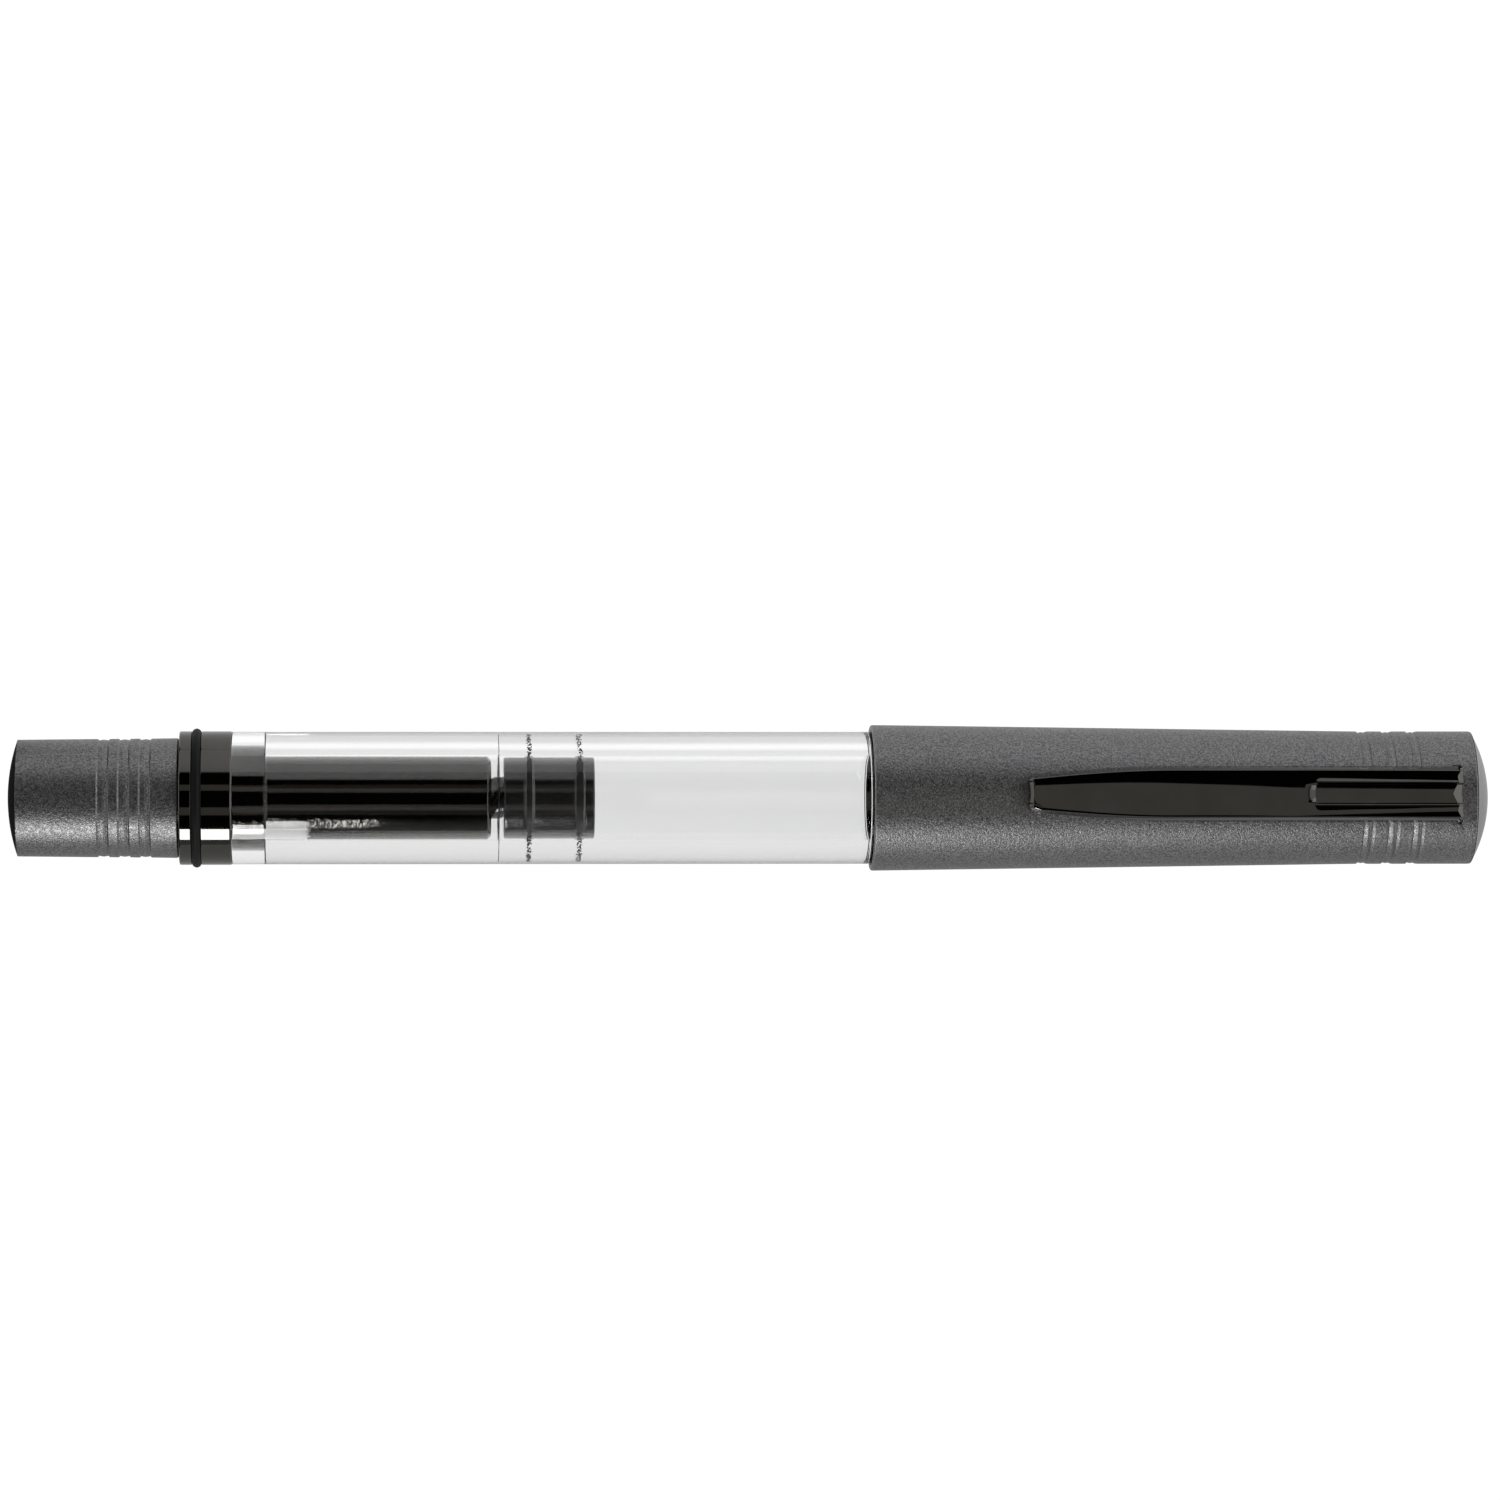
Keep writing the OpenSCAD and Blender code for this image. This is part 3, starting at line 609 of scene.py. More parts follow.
def build_rod(plastic):
    """Three-start spiral rod with two flats, and the thin tail that holds the piston."""
    x0, x1 = span("piston_rod")
    spiral_end = span("piston_head")[0] - 0.02
    lead, starts, land_r, depth, land_share = 6.5, 3, 1.97, 0.3, 0.3
    land_x = span("mechanism_sleeve")[1] + 0.6
    flat_half, tail_r = 1.65, 1.4
    around, per_mm = 96, 6
    rows = int((spiral_end - x0) * per_mm)
    bm, _ = new_bmesh()

    def ring(x, radius_at):
        turns = [2 * math.pi * i / around for i in range(around)]
        return [bm.verts.new(on_circle(x, radius_at(x, a), a)) for a in turns]

    def spiral_r(x, a):
        turn = a - math.pi / 2 + 2 * math.pi * (x - land_x) / lead
        groove = max(0.0, (math.cos(starts * turn) - land_share) / (1 - land_share))
        from_flat = max(abs(math.cos(a - math.pi / 4)), 1e-3)
        return min(land_r - depth * groove, flat_half / from_flat)

    rings = [ring(x0 + (spiral_end - x0) * k / rows, spiral_r) for k in range(rows + 1)]
    rings += [ring(spiral_end, lambda x, a: tail_r), ring(x1, lambda x, a: tail_r)]
    for a, b in zip(rings, rings[1:]):
        for i in range(around):
            j = (i + 1) % around
            bm.faces.new((a[i], a[j], b[j], b[i]))
    bm.faces.new(rings[0])
    bm.faces.new(rings[-1])
    rod = new_object("piston_rod_piece", bm, sharp_deg=40)
    return dress(rod, plastic, "piston", "rod_plastic", "piston_rod")


# The seals' seats in the piston: middles from its rear end, and width
SEAL_OFFSETS = (2.38, 7.08)
SEAL_W = 1.1


def build_piston(material):
    x0, x1 = span("piston_head")
    r = outer_r("piston_head")
    seat_r, socket_r, socket_x = r - 0.6, 1.42, x0 + 3.8
    corners = [(x0, socket_r, 0.05), (x0, r, 0.2)]
    for offset in SEAL_OFFSETS:
        rear, front = x0 + offset - SEAL_W / 2, x0 + offset + SEAL_W / 2
        corners += [(rear, r, 0.05), (rear, seat_r, 0.05), (front, seat_r, 0.05), (front, r, 0.05)]
    corners += [(x1, r, 0.2), (x1, 1.2, 0.3), (x1 - 0.3, 0.9, 0.2), (x1 - 0.3, 0.001, 0)]
    corners += [(socket_x, 0.001, 0), (socket_x, socket_r, 0)]
    return turned("piston_head_piece", corners, material, "piston", "seal_rubber", "piston_head")


def build_seal(node, material):
    x0, x1 = span(node)
    crest_r, body_r = outer_r(node), outer_r("piston_head")
    mid, crest_half, seat_r = middle(node), 0.22, body_r - 0.58
    corners = [
        (x0, seat_r, 0.05),
        (x0, body_r, 0.05),
        (mid - crest_half, crest_r, 0.12),
        (mid + crest_half, crest_r, 0.12),
        (x1, body_r, 0.05),
        (x1, seat_r, 0.05),
    ]
    return turned(node + "_piece", corners, material, "piston", "seal_rubber", node)


def build_bore_mark(name, body, centre, half_w, broken, material):
    """Thin band in the bore's wall, solid above and below and broken into specks at the sides."""
    bore_r, depth = 4.0, 0.014
    around, rows = 900, 12
    solid_share, side_share = 0.64, 0.12
    # The specks' noise, in grains a metre, and the level of it above which the band is solid
    fine, coarse, solid = 6000, 2600, -0.75
    bm, _ = new_bmesh()
    r = bore_r + depth
    turns = [2 * math.pi * i / around for i in range(around)]
    rings = []
    for k in range(rows + 1):
        x = centre + half_w * (2 * k / rows - 1)
        rings.append([bm.verts.new(on_circle(x, r, a)) for a in turns])
    for k in range(rows):
        edge = abs(2 * (k + 0.5) / rows - 1)
        for i in range(around):
            j = (i + 1) % around
            mid = (rings[k][i].co + rings[k + 1][j].co) / 2
            aside = min(1, max(0, (abs(mid.y) / (r * MM) - solid_share) / side_share))
            grain = noise.noise(mid * fine, noise_basis="PERLIN_ORIGINAL")
            grain += 0.5 * noise.noise(mid * coarse, noise_basis="PERLIN_ORIGINAL")
            if grain > solid + aside * (broken - solid) + (0.3 + 0.4 * aside) * edge**3:
                bm.faces.new((rings[k][i], rings[k][j], rings[k + 1][j], rings[k + 1][i]))
    loose = [v for v in bm.verts if not v.link_faces]
    bmesh.ops.delete(bm, geom=loose, context="VERTS")
    slot = "seal_rubber" if body == "piston" else "clear_acrylic"
    return dress(new_object(name, bm), material, body, slot)


# ------------------------------------------------------------ section and nib


def build_clutch_ring(chrome):
    x0, x1 = span("clutch_ring")
    r = outer_r("clutch_ring")
    r_in, bead = 5.63, 0.25
    corners = [
        (x0, r_in, 0.02),
        (x0, r - bead, 0.03),
        (x0 + 1.2, r - bead, 0.1),
        (x0 + 1.6, r, 0.15),
        (x0 + 2.6, r, 0.15),
        (x0 + 3.0, r - bead, 0.1),
        (x1, r - bead, 0.03),
        (x1, r_in, 0.02),
    ]
    return turned("clutch_ring_piece", corners, chrome, "pen_barrel", "black_chrome", "clutch_ring")


def build_section(plastic):
    x0, x1 = span("section")
    front = span("barrel")[1]
    ring_x = middle("section_oring")
    r, groove_half = 4.8, 0.4
    tail_r, groove_r, bore_r, channel_r = 4.55, 3.96, 3.73, 1.8
    flange_x, housing_x = front + 0.02, x1 - 16
    corners = [
        (x0, channel_r, 0),
        (x0, tail_r, 0.08),
        (ring_x - groove_half, tail_r, 0.04),
        (ring_x - groove_half, groove_r, 0.04),
        (ring_x + groove_half, groove_r, 0.04),
        (ring_x + groove_half, tail_r, 0.04),
        (flange_x, tail_r, 0),
        (flange_x, r, 0.15),
        (front + 4, r - 0.05, 3),
        (front + 9, r - 0.25, 5),
        (front + 14, r - 0.45, 4),
        (front + 17, r - 0.45, 2),
        (x1 - 1.6, r - 0.1, 0.6),
        (x1 - 0.7, r, 0.5),
        (x1, r - 0.4, 0.3),
        (x1, bore_r, 0.1),
        (housing_x, bore_r, 0),
        (housing_x, channel_r, 0),
    ]
    return turned("grip_section", corners, plastic, "pen_barrel", "black_plastic", "section", steps=8)


def build_housing(plastic):
    x0, x1 = span("nib_housing")
    r, bore_r, channel_r, floor_x = outer_r("nib_housing"), 3.05, 1.8, x0 + 1
    corners = [(x0, channel_r, 0), (x0, r, 0.05), (x1, r, 0.22), (x1, bore_r, 0.08)]
    corners += [(floor_x, bore_r, 0), (floor_x, channel_r, 0)]
    return turned("nib_housing_piece", corners, plastic, "pen_barrel", "black_plastic", "nib_housing")


def nib_half_width(x, shoulder, tip_x):
    """Half of the nib's outline, seen from above, at station x."""
    base, waist, tip, lead_in = 3.0, 2.16, 0.42, 0.6
    if x <= shoulder - lead_in:
        return base
    u = (x - shoulder + lead_in) / (tip_x - shoulder + lead_in)
    belly = base * (1 - u) + tip * u
    return belly - 0.55 * math.sin(math.pi * min(1, u * 1.15)) * (base - waist)


def build_nib(steel):
    """Rolled and pressed nib: a half tube that narrows into two tines, with a slit and a hole."""
    x0, tip_x = span("nib")
    shoulder = 112.0
    r_tube, r_tip = 3.0, 0.6
    hole_x, hole_r, slit_half, sheet = shoulder + 4, 0.75, 0.05, 0.27
    around, rows, hole_rows = 28, 120, 6
    bm, _ = new_bmesh()

    def point(x, side, v):
        r = r_tube if x <= shoulder else r_tube + (r_tip - r_tube) * (x - shoulder) / (tip_x - shoulder)
        edge = min(nib_half_width(x, shoulder, tip_x), r * 0.9999)
        inner = slit_half
        if abs(x - hole_x) < hole_r:
            inner = max(inner, math.sqrt(hole_r**2 - (x - hole_x) ** 2))
        elif x < hole_x:
            inner = 0.0
        a = math.asin(min(inner / r, 1)) + (math.asin(edge / r) - math.asin(min(inner / r, 1))) * v
        return Vector((END_X + x * MM, side * r * MM * math.sin(a), AXIS_Z + r * MM * math.cos(a)))

    stations = [x0 + (tip_x - x0) * k / rows for k in range(rows + 1)]
    for k in range(-hole_rows, hole_rows + 1):
        stations.append(hole_x + hole_r * math.sin(k / hole_rows * math.pi / 2))
    stations = sorted(set(round(x, 5) for x in stations))
    for side in (-1, 1):
        grid = [[bm.verts.new(point(x, side, k / around)) for k in range(around + 1)] for x in stations]
        for a, b in zip(grid, grid[1:]):
            for k in range(around):
                bm.faces.new((a[k], a[k + 1], b[k + 1], b[k]))
    bmesh.ops.remove_doubles(bm, verts=bm.verts, dist=2e-6)
    nib = new_object("nib_piece", bm)
    thicken(nib, sheet)
    return dress(nib, steel, "pen_barrel", "nib_steel", "nib")


def build_nib_point(alloy):
    lo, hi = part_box("nib_point")
    centre = (lo + hi) / 2
    bm, _ = new_bmesh()
    radius, shorter, worn_flat = 0.42, 0.9, 0.85
    bmesh.ops.create_uvsphere(bm, u_segments=32, v_segments=20, radius=radius * MM)
    for vert in bm.verts:
        flat = worn_flat if vert.co.z < 0 else 1.0
        vert.co = Vector((vert.co.x * shorter, vert.co.y, vert.co.z * flat)) + centre
    return dress(new_object("nib_point_piece", bm), alloy, "pen_barrel", "point_alloy", "nib_point")


# ------------------------------------------------------------------------- cap

CLIP_X0, CLIP_X1 = span("clip")


def build_cap(metal):
    x0, x1 = span("cap_shell")
    mouth_r = outer_r("cap_shell")
    end_r, taper = outer_r("finial"), 45.7
    bore_x, mouth_bore_r, bore_r = x0 + 6.8, 6.25, 5.5

    def radius_at(x):
        return mouth_r + (end_r - mouth_r) * min(1, (x - x0) / taper)

    corners = [(x0, mouth_r, 0.2), (x0 + taper, end_r, 4)]
    first, pitch, width, deep = x0 + 45.85, 2.34, 1.02, 1.25
    corners += grooved(CAP_BAND, first, pitch, width, deep, radius_at)
    corners += [(x1, end_r, 0.12), (x1, bore_r, 0), (bore_x, bore_r, 0.05)]
    corners += [(bore_x, mouth_bore_r, 0.05), (x0, mouth_bore_r, 0.15)]
    cap = turned("cap_shell_piece", corners, metal, "cap", "blasted_gunmetal", "cap_shell", sides=256)
    cut_slot(cap)
    return cap


def cut_slot(cap):
    """Cuts the slot that the clip's leg goes through."""
    leg, gap, half_w = 0.6, 0.15, 2.775
    cx = CLIP_X1 - leg / 2
    bm = bmesh.new()
    bmesh.ops.create_cube(bm, size=1)
    for vert in bm.verts:
        vert.co.x = END_X + (cx + vert.co.x * (leg + 2 * gap)) * MM
        vert.co.y *= 2 * half_w * MM
        vert.co.z = AXIS_Z + (5 + vert.co.z * 4) * MM
    mesh = bpy.data.meshes.new("slot_cutter")
    bm.to_mesh(mesh)
    bm.free()
    cutter = add_object("slot_cutter", mesh)
    boolean = cap.modifiers.new("slot", "BOOLEAN")
    boolean.operation = "DIFFERENCE"
    boolean.solver = "EXACT"
    boolean.object = cutter
    while cap.modifiers[0] != boolean:
        cap.modifiers.move(len(cap.modifiers) - 1, 0)
    with bpy.context.temp_override(object=cap, active_object=cap, selected_objects=[cap]):
        bpy.ops.object.modifier_apply(modifier="slot")
    bpy.data.objects.remove(cutter)


def build_finial(satin):
    x0, x1 = span("finial")
    r = outer_r("finial")
    edge_x, stud_r = span("cap_shell")[1], 1.4
    outline = [(x0, 0.0, 0.0), (x0, stud_r, 0.0), (edge_x + 0.02, stud_r, 0.0)]
    outline += [(edge_x + 0.02, r - 0.06, 0.0), (edge_x + 0.05, r - 0.02, 0.5)]
    outline += dome_outline(edge_x, x1, r)[1:]
    return dress(lathe("finial_piece", outline, close=False), satin, "cap", "finial_satin", "finial")


# ------------------------------------------------------------------------ clip

CLIP_W, CLIP_W_TIP = 5.25, 3.66
CLIP_FLARE, CLIP_ARCH, CLIP_SHEET = 0.48, 0.5, 0.42
CHANNEL_HALF, CHANNEL_LEN, CHANNEL_WALL = 1.0, 14.2, 0.16
RIDGE_H, RIDGE_W = 0.07, 0.085
FACE_X0 = CLIP_X0 + 0.2
# Length of the flat rubbed on the near corner of the tip, and how far it's trimmed there
NEAR_FACET, NEAR_TRIM = 1.0, 0.26


def clip_top(x):
    """Height of the clip's ridge line above the pen's axis at station x."""
    tip_z, rise = 8.15, 0.2
    u = (x - CLIP_X0) / (CLIP_X1 - CLIP_X0)
    return tip_z + 4 * CLIP_ARCH * u * (1 - u) + rise * u


def clip_half(x):
    """Half width of the clip's flat face at station x, with the rounded corners of its tip."""
    third = (CLIP_X1 - CLIP_X0) / 3
    u = min(1, (x - CLIP_X0) / third)
    half = (CLIP_W_TIP + (CLIP_W - CLIP_W_TIP) * math.sin(math.pi / 2 * u)) / 2 - CLIP_FLARE
    corner = 0.22
    near = max(0.0, corner - (x - FACE_X0))
    return half - corner + math.sqrt(corner**2 - near**2)


def clip_drop(x, y):
    """How far the clip's face lies under its ridge line: its crown and its pressed channel."""
    u = (x - CLIP_X0) / (CLIP_X1 - CLIP_X0)
    # The crown is flat in the middle at the tip, and rounder and higher towards the root
    power = 4.5 - 2.3 * min(1, u / 0.6)
    crown = (0.12 + 0.22 * u) * abs(y / clip_half(x)) ** power
    # The channel starts in a blunt round end and deepens towards the root
    blunt = 2.2
    start = CLIP_X1 - CHANNEL_LEN + CHANNEL_HALF / blunt
    reach = math.hypot(min(0, x - start) * blunt, y)
    inside = min(1, max(0, (CHANNEL_HALF - reach) / CHANNEL_WALL))
    depth = 0.24 + 0.1 * max(0, (x - start) / CHANNEL_LEN)
    # A low ridge runs along its edges, wider and higher at its start
    early = min(1, max(0, (CLIP_X1 - x) / CHANNEL_LEN))
    aside = reach - CHANNEL_HALF - 0.07
    slope_w = RIDGE_W * (1 + 1.9 * early) if aside > 0 else RIDGE_W
    ridge = RIDGE_H * (1 + early) * math.exp(-((aside / slope_w) ** 2))
    ridge *= min(1, max(0, (x - start + 0.6) / 0.8))
    return crown + depth * inside * inside * (3 - 2 * inside) - ridge


def root_radius(y):
    """Radius of the bend at the clip's root: tight at the corners, wide in the channel."""
    bends = ((0.0, 1.15), (0.5, 0.88), (1.05, 0.53), (1.6, 0.68), (2.14, 0.3), (3.0, 0.3))
    for (y0, r0), (y1, r1) in zip(bends, bends[1:]):
        if abs(y) <= y1:
            u = (abs(y) - y0) / (y1 - y0)
            return r0 + (r1 - r0) * u
    return bends[-1][1]


INNER_MM = (0, 0.3, 0.55, 0.75, 0.84, 0.88, 0.92, 0.96, 1.0, 1.03, 1.06, 1.09, 1.12, 1.16, 1.2, 1.26, 1.34)
OUTER_SHARES = (0.2, 0.4, 0.6, 0.75, 0.87, 0.95, 1.0)
# The bend at the root for a radius of 1, as (out, down): a slope between two tighter turns
ROOT_BEND = (
    (0.06, 0.004),
    (0.13, 0.02),
    (0.22, 0.06),
    (0.5, 0.21),
    (0.78, 0.36),
    (0.9, 0.45),
    (0.97, 0.58),
    (1.0, 0.75),
    (1.0, 1.0),
)
# Rows from the face's last station to the bend, round it, and down the leg
END_STEPS, BEND_STEPS, LEG_STEPS = 12, len(ROOT_BEND), 4


def clip_row(half):
    """Places across the clip for one row: fixed about the channel, then even shares to the edge."""
    inner = min(1, 0.75 * half / INNER_MM[-1])
    side = [v * inner for v in INNER_MM]
    side += [side[-1] + share * (half - side[-1]) for share in OUTER_SHARES]
    return [-v for v in reversed(side[1:])] + side


def clip_stations():
    xs = [FACE_X0 + v for v in (0, 0.01, 0.03, 0.06, 0.1, 0.15, 0.22, 0.35, 0.6, 0.9, 1.3)]
    start = CLIP_X1 - CHANNEL_LEN
    x = FACE_X0 + 1.9
    while x < CLIP_X1 - 1.6:
        xs.append(x)
        x += 0.09 if start - 0.3 < x < start + 1.6 else 0.5
    return xs


def face_rows(put):
    """Rows of the clip's flat face from the tip on, which is dented, with its near corner trimmed."""
    dent_depth, dent_length = 0.2, 0.9
    rows = []
    for x in clip_stations():
        trim = NEAR_TRIM * max(0, 1 - (x - FACE_X0) / NEAR_FACET)
        fade = max(0, 1 - (x - FACE_X0) / dent_length)
        row = []
        for y in clip_row(clip_half(x)):
            dent = dent_depth * fade * (1 - (y / clip_half(FACE_X0 + 1)) ** 2)
            side_y = y * (1 - trim / clip_half(x)) if y < 0 else y
            row.append(put(x + max(0, dent), side_y, clip_top(x) - clip_drop(x, y)))
        rows.append(row)
    return rows


def root_place(k, y, last, foot_z):
    """Station and height at step k on the way from the last flat row to the foot of the leg."""
    rho = root_radius(y)
    flat_end = CLIP_X1 - rho
    if k <= END_STEPS:
        x = last + (flat_end - last) * k / END_STEPS
        return x, clip_top(x) - clip_drop(x, y)
    k -= END_STEPS
    if k <= BEND_STEPS:
        out, fall = ROOT_BEND[k - 1]
        return flat_end + rho * out, clip_top(flat_end) - clip_drop(flat_end, y) - rho * fall
    top = clip_top(flat_end) - clip_drop(flat_end, y) - rho
    return CLIP_X1, top + (foot_z - top) * (k - BEND_STEPS) / LEG_STEPS


def build_clip(chrome):
    """Folded spring clip: a crowned face with a pressed channel, flared sides and a leg at its root."""
    foot_z = (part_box("clip")[0].z - AXIS_Z) / MM
    bm, _ = new_bmesh()
    down, inward, side_depth = Vector((0, 0, -1)), Vector((-1, 0, 0)), 1.32

    def put(x, y, z):
        return bm.verts.new((END_X + x * MM, y * MM, AXIS_Z + z * MM))

    grid = face_rows(put)
    downs = [(down, side_depth, 1.0)] * len(grid)
    last = clip_stations()[-1]
    for k in range(1, END_STEPS + BEND_STEPS + LEG_STEPS + 1):
        row = []
        for y in clip_row(clip_half(CLIP_X1 - 2)):
            x, z = root_place(k, y, last, foot_z)
            row.append(put(x, y, z))
        grid.append(row)
        bent = max(0, k - END_STEPS) / BEND_STEPS
        if bent <= 1:
            downs.append((down, side_depth * (1 - 0.55 * bent), 1 - 0.1 * bent))
        else:
            downs.append((inward, 0.35, 0.35))
    for a, b in zip(grid, grid[1:]):
        for k in range(len(a) - 1):
            bm.faces.new((a[k], a[k + 1], b[k + 1], b[k]))
    add_skirt(bm, grid, downs)
    clip = new_object("pocket_clip_piece", bm, sharp_deg=30)
    thicken(clip, CLIP_SHEET)
    return dress(clip, chrome, "pocket_clip", "black_chrome", "clip")


def corner_facet(place, out):
    """1 on the near edge's first millimetre from the tip, where a small flat is rubbed on it."""
    along = (place.x - END_X) / MM - FACE_X0
    return min(1, max(0, (NEAR_FACET - along) / 0.15)) * min(1, max(0, (-out.y - 0.6) / 0.3))


def skirt_edge(grid, downs):
    """The face's edge from the root's near side round the tip to the root's far side, as (point,
    way out, way down), the way out being square to the edge."""
    near, ahead_of_tip, far = Vector((0, -1, 0)), Vector((-1, 0, 0)), Vector((0, 1, 0))
    rows = list(zip(grid, downs))
    edge = [(row[0], near, down) for row, down in reversed(rows)]
    edge += [(vert, ahead_of_tip, downs[0]) for vert in grid[0][1:-1]]
    edge += [(row[-1], far, down) for row, down in rows]
    places = [vert.co.copy() for vert, _, _ in edge]
    squared = []
    for i, (vert, out, down) in enumerate(edge):
        along = places[min(i + 1, len(places) - 1)] - places[max(i - 1, 0)]
        flat = Vector((along.y, -along.x, 0))
        flat = -flat if flat.dot(out) < 0 else flat
        squared.append((vert, flat.normalized() if flat.length > 1e-7 else out, down))
    return squared


def add_skirt(bm, grid, downs):
    """The clip's folded edges: a side that flares out as it goes down, and a sloping end at the tip.
    Both profiles are (out, down), the last two downs being shares of the side's depth."""
    side = ((0.03, 0.012), (0.05, 0.04), (0.058, 0.09), (CLIP_FLARE * 0.6, 0.6), (CLIP_FLARE, 1.0))
    tip = ((0.03, 0.01), (0.07, 0.03), (0.33, 0.19), (0.36, 0.5), (0.36, 1.0))
    facet = ((0.12, 0.08), (0.135, 0.12), (0.14, 0.17))
    worn, worn_levels = bm.verts.layers.float["wear"], 2
    edge = skirt_edge(grid, downs)
    rings = [[vert for vert, _, _ in edge]]
    for level in range(len(side)):
        ring = []
        for vert, out, (toward, depth, spread) in edge:
            start = vert.co.copy()
            ahead = max(0.0, -out.x) ** 2
            flare = side[level][0] * (1 - ahead) + tip[level][0] * ahead
            fall = side[level][1] * (1 - ahead) + tip[level][1] * ahead
            if level < len(facet):
                rubbed = corner_facet(start, out)
                flare += (facet[level][0] - flare) * rubbed
                fall += (facet[level][1] - fall) * rubbed
            else:
                fall *= depth
            ring.append(bm.verts.new(start + out * flare * spread * MM + toward * fall * MM))
            ring[-1][worn] = 0.5 if level < worn_levels else 0.0
        rings.append(ring)
    for a, b in zip(rings, rings[1:]):
        for i in range(len(a) - 1):
            bm.faces.new((a[i], a[i + 1], b[i + 1], b[i]))


# ------------------------------------------------------------- floor and light


def across(tree, place, stops):
    """Value that changes linearly across the floor, from stops (place in m, value)."""
    reach, top = 0.1, 2.0
    share = between(tree, place, -reach, reach)
    shares = [((at + reach) / (2 * reach), value / top) for at, value in stops]
    return maths(tree, "MULTIPLY", colour_ramp(tree, share, shares), top)


def floor_glow(tree):
    """How bright the floor glows: to a mirrored ray a grey, darker towards the near side and dark past the
    knob's end, as a painted reflection; to other rays paper white, with a painted band of brighter light
    on the far side that the clear barrel shows.
    """
    path = tree.nodes.new("ShaderNodeLightPath").outputs
    mirrored = maths(tree, "SUBTRACT", path["Is Glossy Ray"], path["Is Transmission Ray"])
    mirrored.node.use_clamp = True
    split = tree.nodes.new("ShaderNodeSeparateXYZ")
    tree.links.new(tree.nodes.new("ShaderNodeTexCoord").outputs["Object"], split.inputs[0])
    x, y, _ = split.outputs
    # Painted reflection: the grey that mirrored rays see, darker towards the near side and dark past the
    # knob's end
    sides = across(tree, y, ((-0.01, 0.39), (0.01, 0.62)))
    past_end = across(tree, x, ((END_X - 0.002, 0.02), (END_X - 0.0005, 1.0)))
    # Painted light: a band of brighter floor 9.5 to 12.5 mm out on the far side, seen through the clear
    # barrel
    painted_light_band = across(tree, y, ((0.007, 0.985), (0.0095, 1.3), (0.0125, 1.3), (0.017, 0.985)))
    glow = tree.nodes.new("ShaderNodeMix")
    tree.links.new(mirrored, glow.inputs["Factor"])
    tree.links.new(painted_light_band, glow.inputs["A"])
    tree.links.new(maths(tree, "MULTIPLY", sides, past_end), glow.inputs["B"])
    return glow.outputs["Result"]


def build_floor():
    half, z = 1.5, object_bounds()[0][2]
    corners = [(-half, -half, z), (half, -half, z), (half, half, z), (-half, half, z)]
    mesh = bpy.data.meshes.new("floor")
    mesh.from_pydata(corners, [], [(0, 1, 2, 3)])
    floor = add_object("floor", mesh)
    paper = {"Base_Color": (0.1, 0.1, 0.1, 1), "Emission_Color": (1, 1, 1, 1)}
    f = Finish("pale_floor", Roughness=1.0, Specular_IOR_Level=0.0, **paper)
    f.link(floor_glow(f.tree), f.shader.inputs["Emission Strength"])
    floor.data.materials.append(f.material)


def build_world():
    """Soft studio: dark cards beside the camera, grey walls, pale below; the camera itself sees pale."""
    world = bpy.data.worlds.new("studio")
    bpy.context.scene.world = world
    world.use_nodes = True
    tree = world.node_tree
    split = tree.nodes.new("ShaderNodeSeparateXYZ")
    tree.links.new(tree.nodes.new("ShaderNodeTexCoord").outputs["Generated"], split.inputs[0])
    x, y, z = split.outputs
    angle = maths(tree, "ARCTAN2", maths(tree, "MULTIPLY", y, -1.0), z)
    share = maths(tree, "ADD", maths(tree, "DIVIDE", angle, 2 * math.pi), 0.5)
    low_wall, wall, far_wall = (0.56, 0.56, 0.57), (0.67, 0.67, 0.68), (0.68, 0.68, 0.69)
    black, side, under = 0.004, 0.22, 0.9
    # Degrees from straight up, + towards the near side
    bands = (
        (-180, under),
        (-100, far_wall),
        (-62, wall),
        (-44, low_wall),
        (-42, black),
        (58, black),
        (86, side),
        (100, side),
        (115, under),
        (180, under),
    )
    colour = colour_ramp(tree, share, [(degrees / 360 + 0.5, shade) for degrees, shade in bands])
    colour = mix_colours(tree, between(tree, x, -0.55, -0.75), colour, (0.7, 0.7, 0.7))
    colour = mix_colours(tree, between(tree, x, 0.45, 0.65), colour, (1.2, 1.2, 1.2))
    camera_ray = tree.nodes.new("ShaderNodeLightPath").outputs["Is Camera Ray"]
    colour = mix_colours(tree, camera_ray, colour, (1, 1, 1))
    tree.links.new(colour, tree.nodes["Background"].inputs["Color"])


def area_light(name, place, aim, size, power):
    light = bpy.data.lights.new(name, "AREA")
    light.shape = "RECTANGLE"
    light.size, light.size_y = size
    light.energy = power
    lamp = add_object(name, light)
    lamp.location = place
    lamp.rotation_euler = (aim - place).to_track_quat("-Z", "Y").to_euler()
    return lamp


def build_lights():
    """A long soft strip on the near side, level with the knob, and a dim card over the clip."""
    reach, tilt = 1.0, math.radians(68.5)
    length, width, strip_end, radiance = 0.26, 0.371, -0.0515, 11.5
    aim = Vector((strip_end - length / 2, 0, AXIS_Z))
    place = aim + Vector((0, -math.sin(tilt), math.cos(tilt))) * reach
    area_light("near_strip", place, aim, (length, width), math.pi * radiance * length * width)
    dim_card("clip_card", (0.0, 0.16), (-8, 25.5), 0.31)
    dim_card("far_card", (-0.16, -0.004), (-20, -10), 0.2)
    dim_card("near_card", (-0.16, -0.004), (18.5, 32), 0.2)


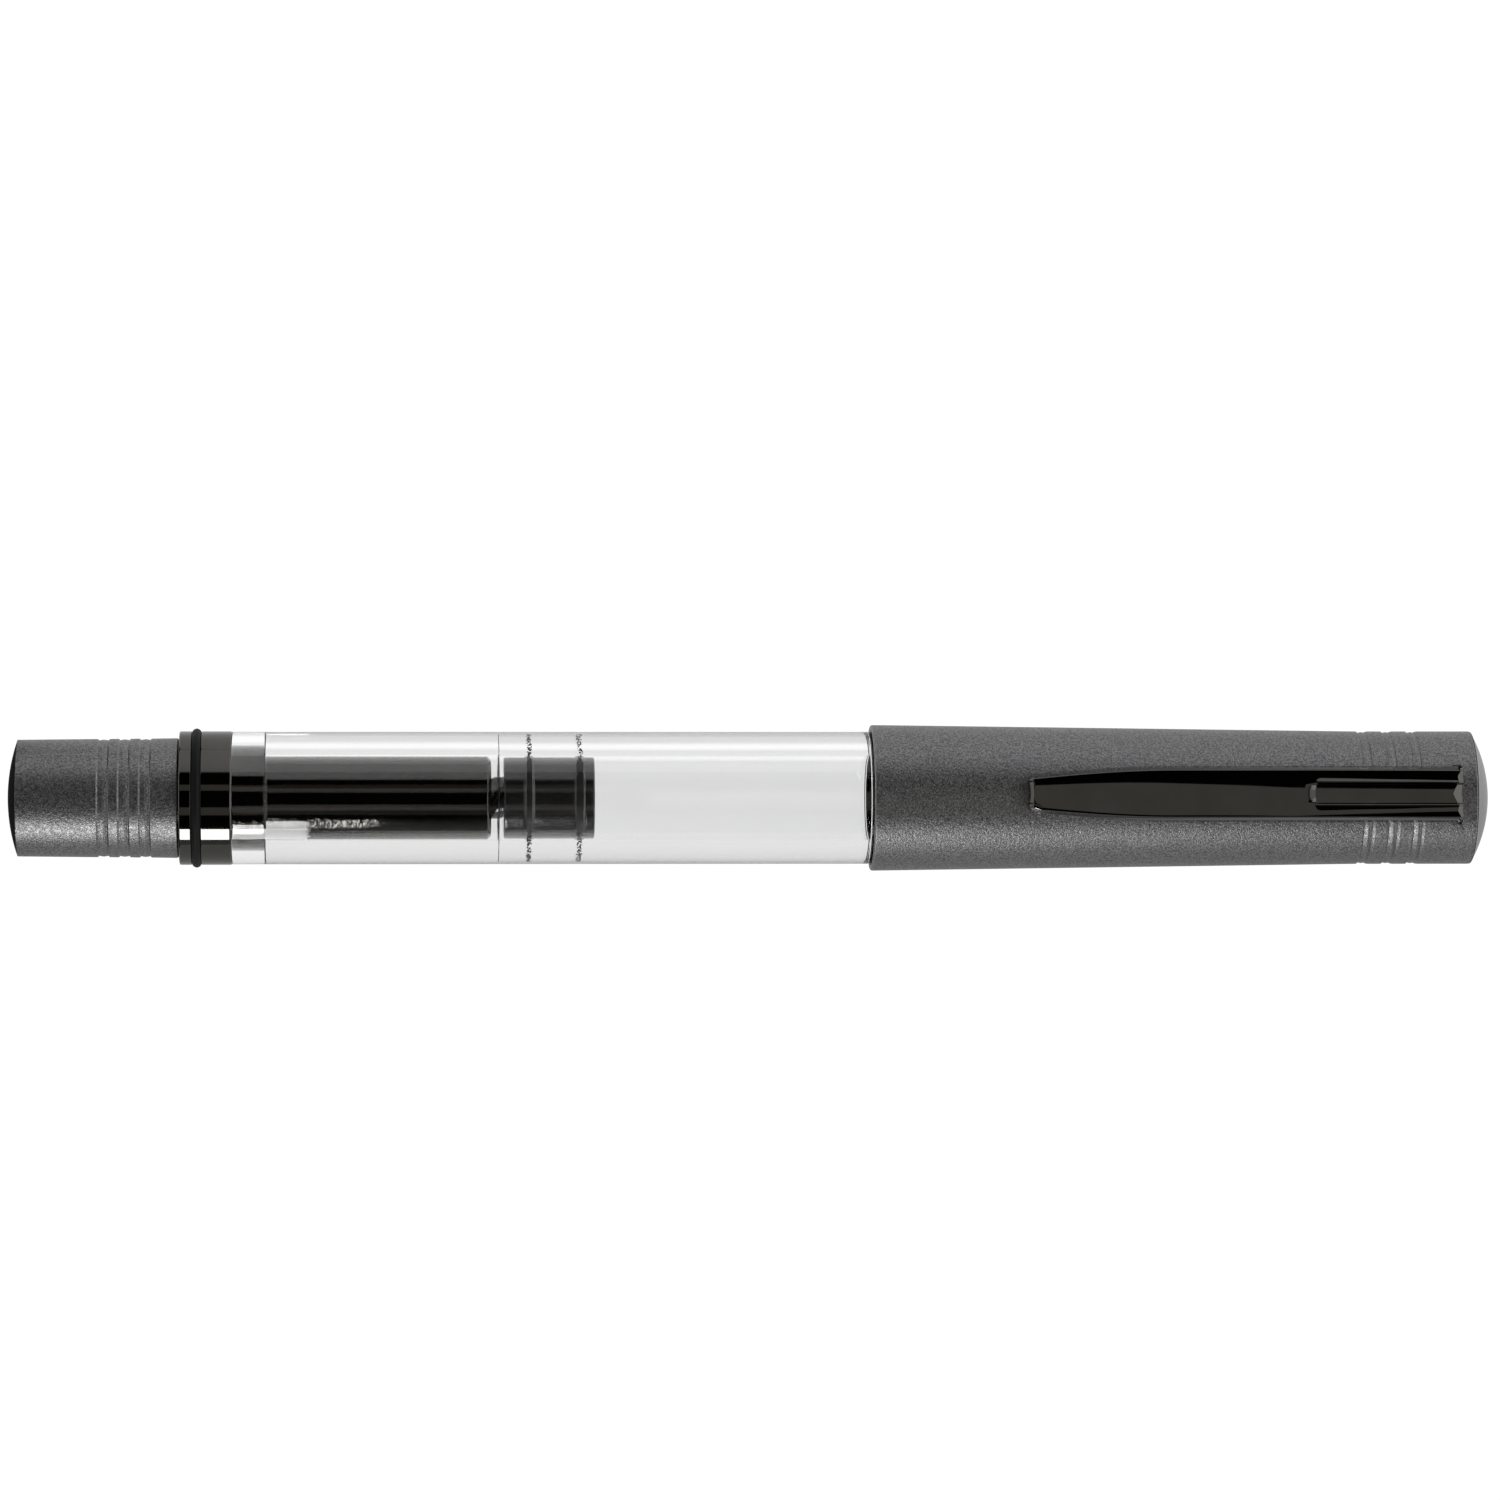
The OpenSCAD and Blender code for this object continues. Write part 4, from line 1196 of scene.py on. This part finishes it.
def dim_card(name, along, angles, radiance):
    """A level card over the pen, between two angles from straight up, + towards the near side."""
    height = 0.25
    ys = [-height * math.tan(math.radians(a)) for a in angles]
    width, depth = along[1] - along[0], abs(ys[1] - ys[0])
    place = Vector((sum(along) / 2, sum(ys) / 2, AXIS_Z + height))
    power = math.pi * radiance * width * depth
    card = area_light(name, place, place - Vector((0, 0, 1)), (width, depth), power)
    card.data.color = (1.0, 0.95, 0.88)
    card.visible_camera = False


def build_camera():
    """From above and a little to the near side, over the pen's rear half, as in the catalogue view."""
    camera = bpy.data.cameras.new("camera")
    distance, frame_width, camera.sensor_width = 0.657, 0.1409, 36
    camera.lens = camera.sensor_width * distance / frame_width
    camera.clip_start = 0.01
    eye = add_object("camera", camera)
    target = Vector((-0.0001, 0.0045, AXIS_Z))
    over_x, lean = -0.035, math.radians(3.0)
    up = math.sqrt(distance**2 - over_x**2)
    eye.location = target + Vector((over_x, -math.sin(lean) * up, math.cos(lean) * up))
    look = (target - eye.location).normalized()
    right = (Vector((1, 0, 0)) - look * look.x).normalized()
    axes = Matrix((right, right.cross(look), -look)).transposed()
    eye.rotation_euler = axes.to_euler()
    bpy.context.scene.camera = eye


# ------------------------------------------------------------------------ main


def finish_cad_nodes(materials):
    """Procedural finishes for the CAD nodes that keep their own shape."""
    kept = {
        "knob_screw": "steel",
        "spindle": "steel",
        "drive_nut": "brass",
        "spindle_oring": "rubber",
        "thrust_washer": "steel",
        "guide_bush": "plastic",
        "section_oring": "rubber",
        "feed": "plastic",
        "cap_clutch": "steel",
        "inner_cap": "plastic",
        "cap_plug": "steel",
    }
    for node, key in kept.items():
        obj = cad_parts[node]
        for slot in obj.material_slots:
            slot.material = materials[key]


def build_marks():
    """The seals' contact bands on the bore, and the line where the bore steps down."""
    dark_band_finish = moulded_plastic("bore_band_black", 0.002, 0.5, ior=1.5)
    step = span("mechanism_sleeve")[1] + BORE_STEP
    build_bore_mark("rear_seal_contact", "piston", middle("rear_seal"), 0.25, -0.12, dark_band_finish)
    build_bore_mark("front_seal_contact", "piston", middle("front_seal"), 0.33, 0.04, dark_band_finish)
    # A thin dark line drawn in the bore's wall at its step, in the same dark finish
    build_bore_mark("bore_step_line", "pen_barrel", step, 0.055, -0.5, dark_band_finish)


def build_pen():
    gunmetal = blasted_gunmetal()
    chrome = black_chrome("black_chrome")
    specked_chrome = black_chrome("black_chrome_specked", specked=True)
    seal = rubber("seal_rubber", 0.005, 0.6, ior=1.28)
    plastic = moulded_plastic("black_plastic", 0.014, 0.28)
    piston = moulded_plastic("piston_black", 0.01, 0.12, ior=1.85)
    steel = turned_metal("mechanism_steel", (0.42, 0.42, 0.43), (0.52, 0.52, 0.53), 0.28)
    brass = turned_metal("nut_brass", (0.55, 0.38, 0.16), (0.66, 0.48, 0.22), 0.3)
    build_knob(gunmetal)
    build_end_disc(end_disc_black())
    build_collar(specked_chrome)
    build_posting_ring(seal)
    build_barrel(clear_acrylic())
    build_sleeve(specked_chrome)
    build_rod(moulded_plastic("rod_plastic", 0.012, 0.15, ior=1.7))
    build_piston(piston)
    build_seal("rear_seal", piston)
    build_seal("front_seal", piston)
    build_marks()
    build_clutch_ring(chrome)
    build_section(plastic)
    build_housing(plastic)
    build_nib(polished_steel())
    build_nib_point(turned_metal("point_alloy", (0.6, 0.6, 0.61), (0.7, 0.7, 0.71), 0.25))
    build_cap(gunmetal)
    build_finial(finial_satin())
    build_clip(chrome)
    finish_cad_nodes({"steel": steel, "plastic": plastic, "rubber": seal, "brass": brass})


def main():
    build_pen()
    build_floor()
    build_world()
    build_lights()
    build_camera()
    bpy.context.scene.view_settings.view_transform = "Standard"
    cycles = bpy.context.scene.cycles
    cycles.max_bounces, cycles.transmission_bounces = 24, 20
    cycles.glossy_bounces, cycles.transparent_max_bounces = 12, 16


main()
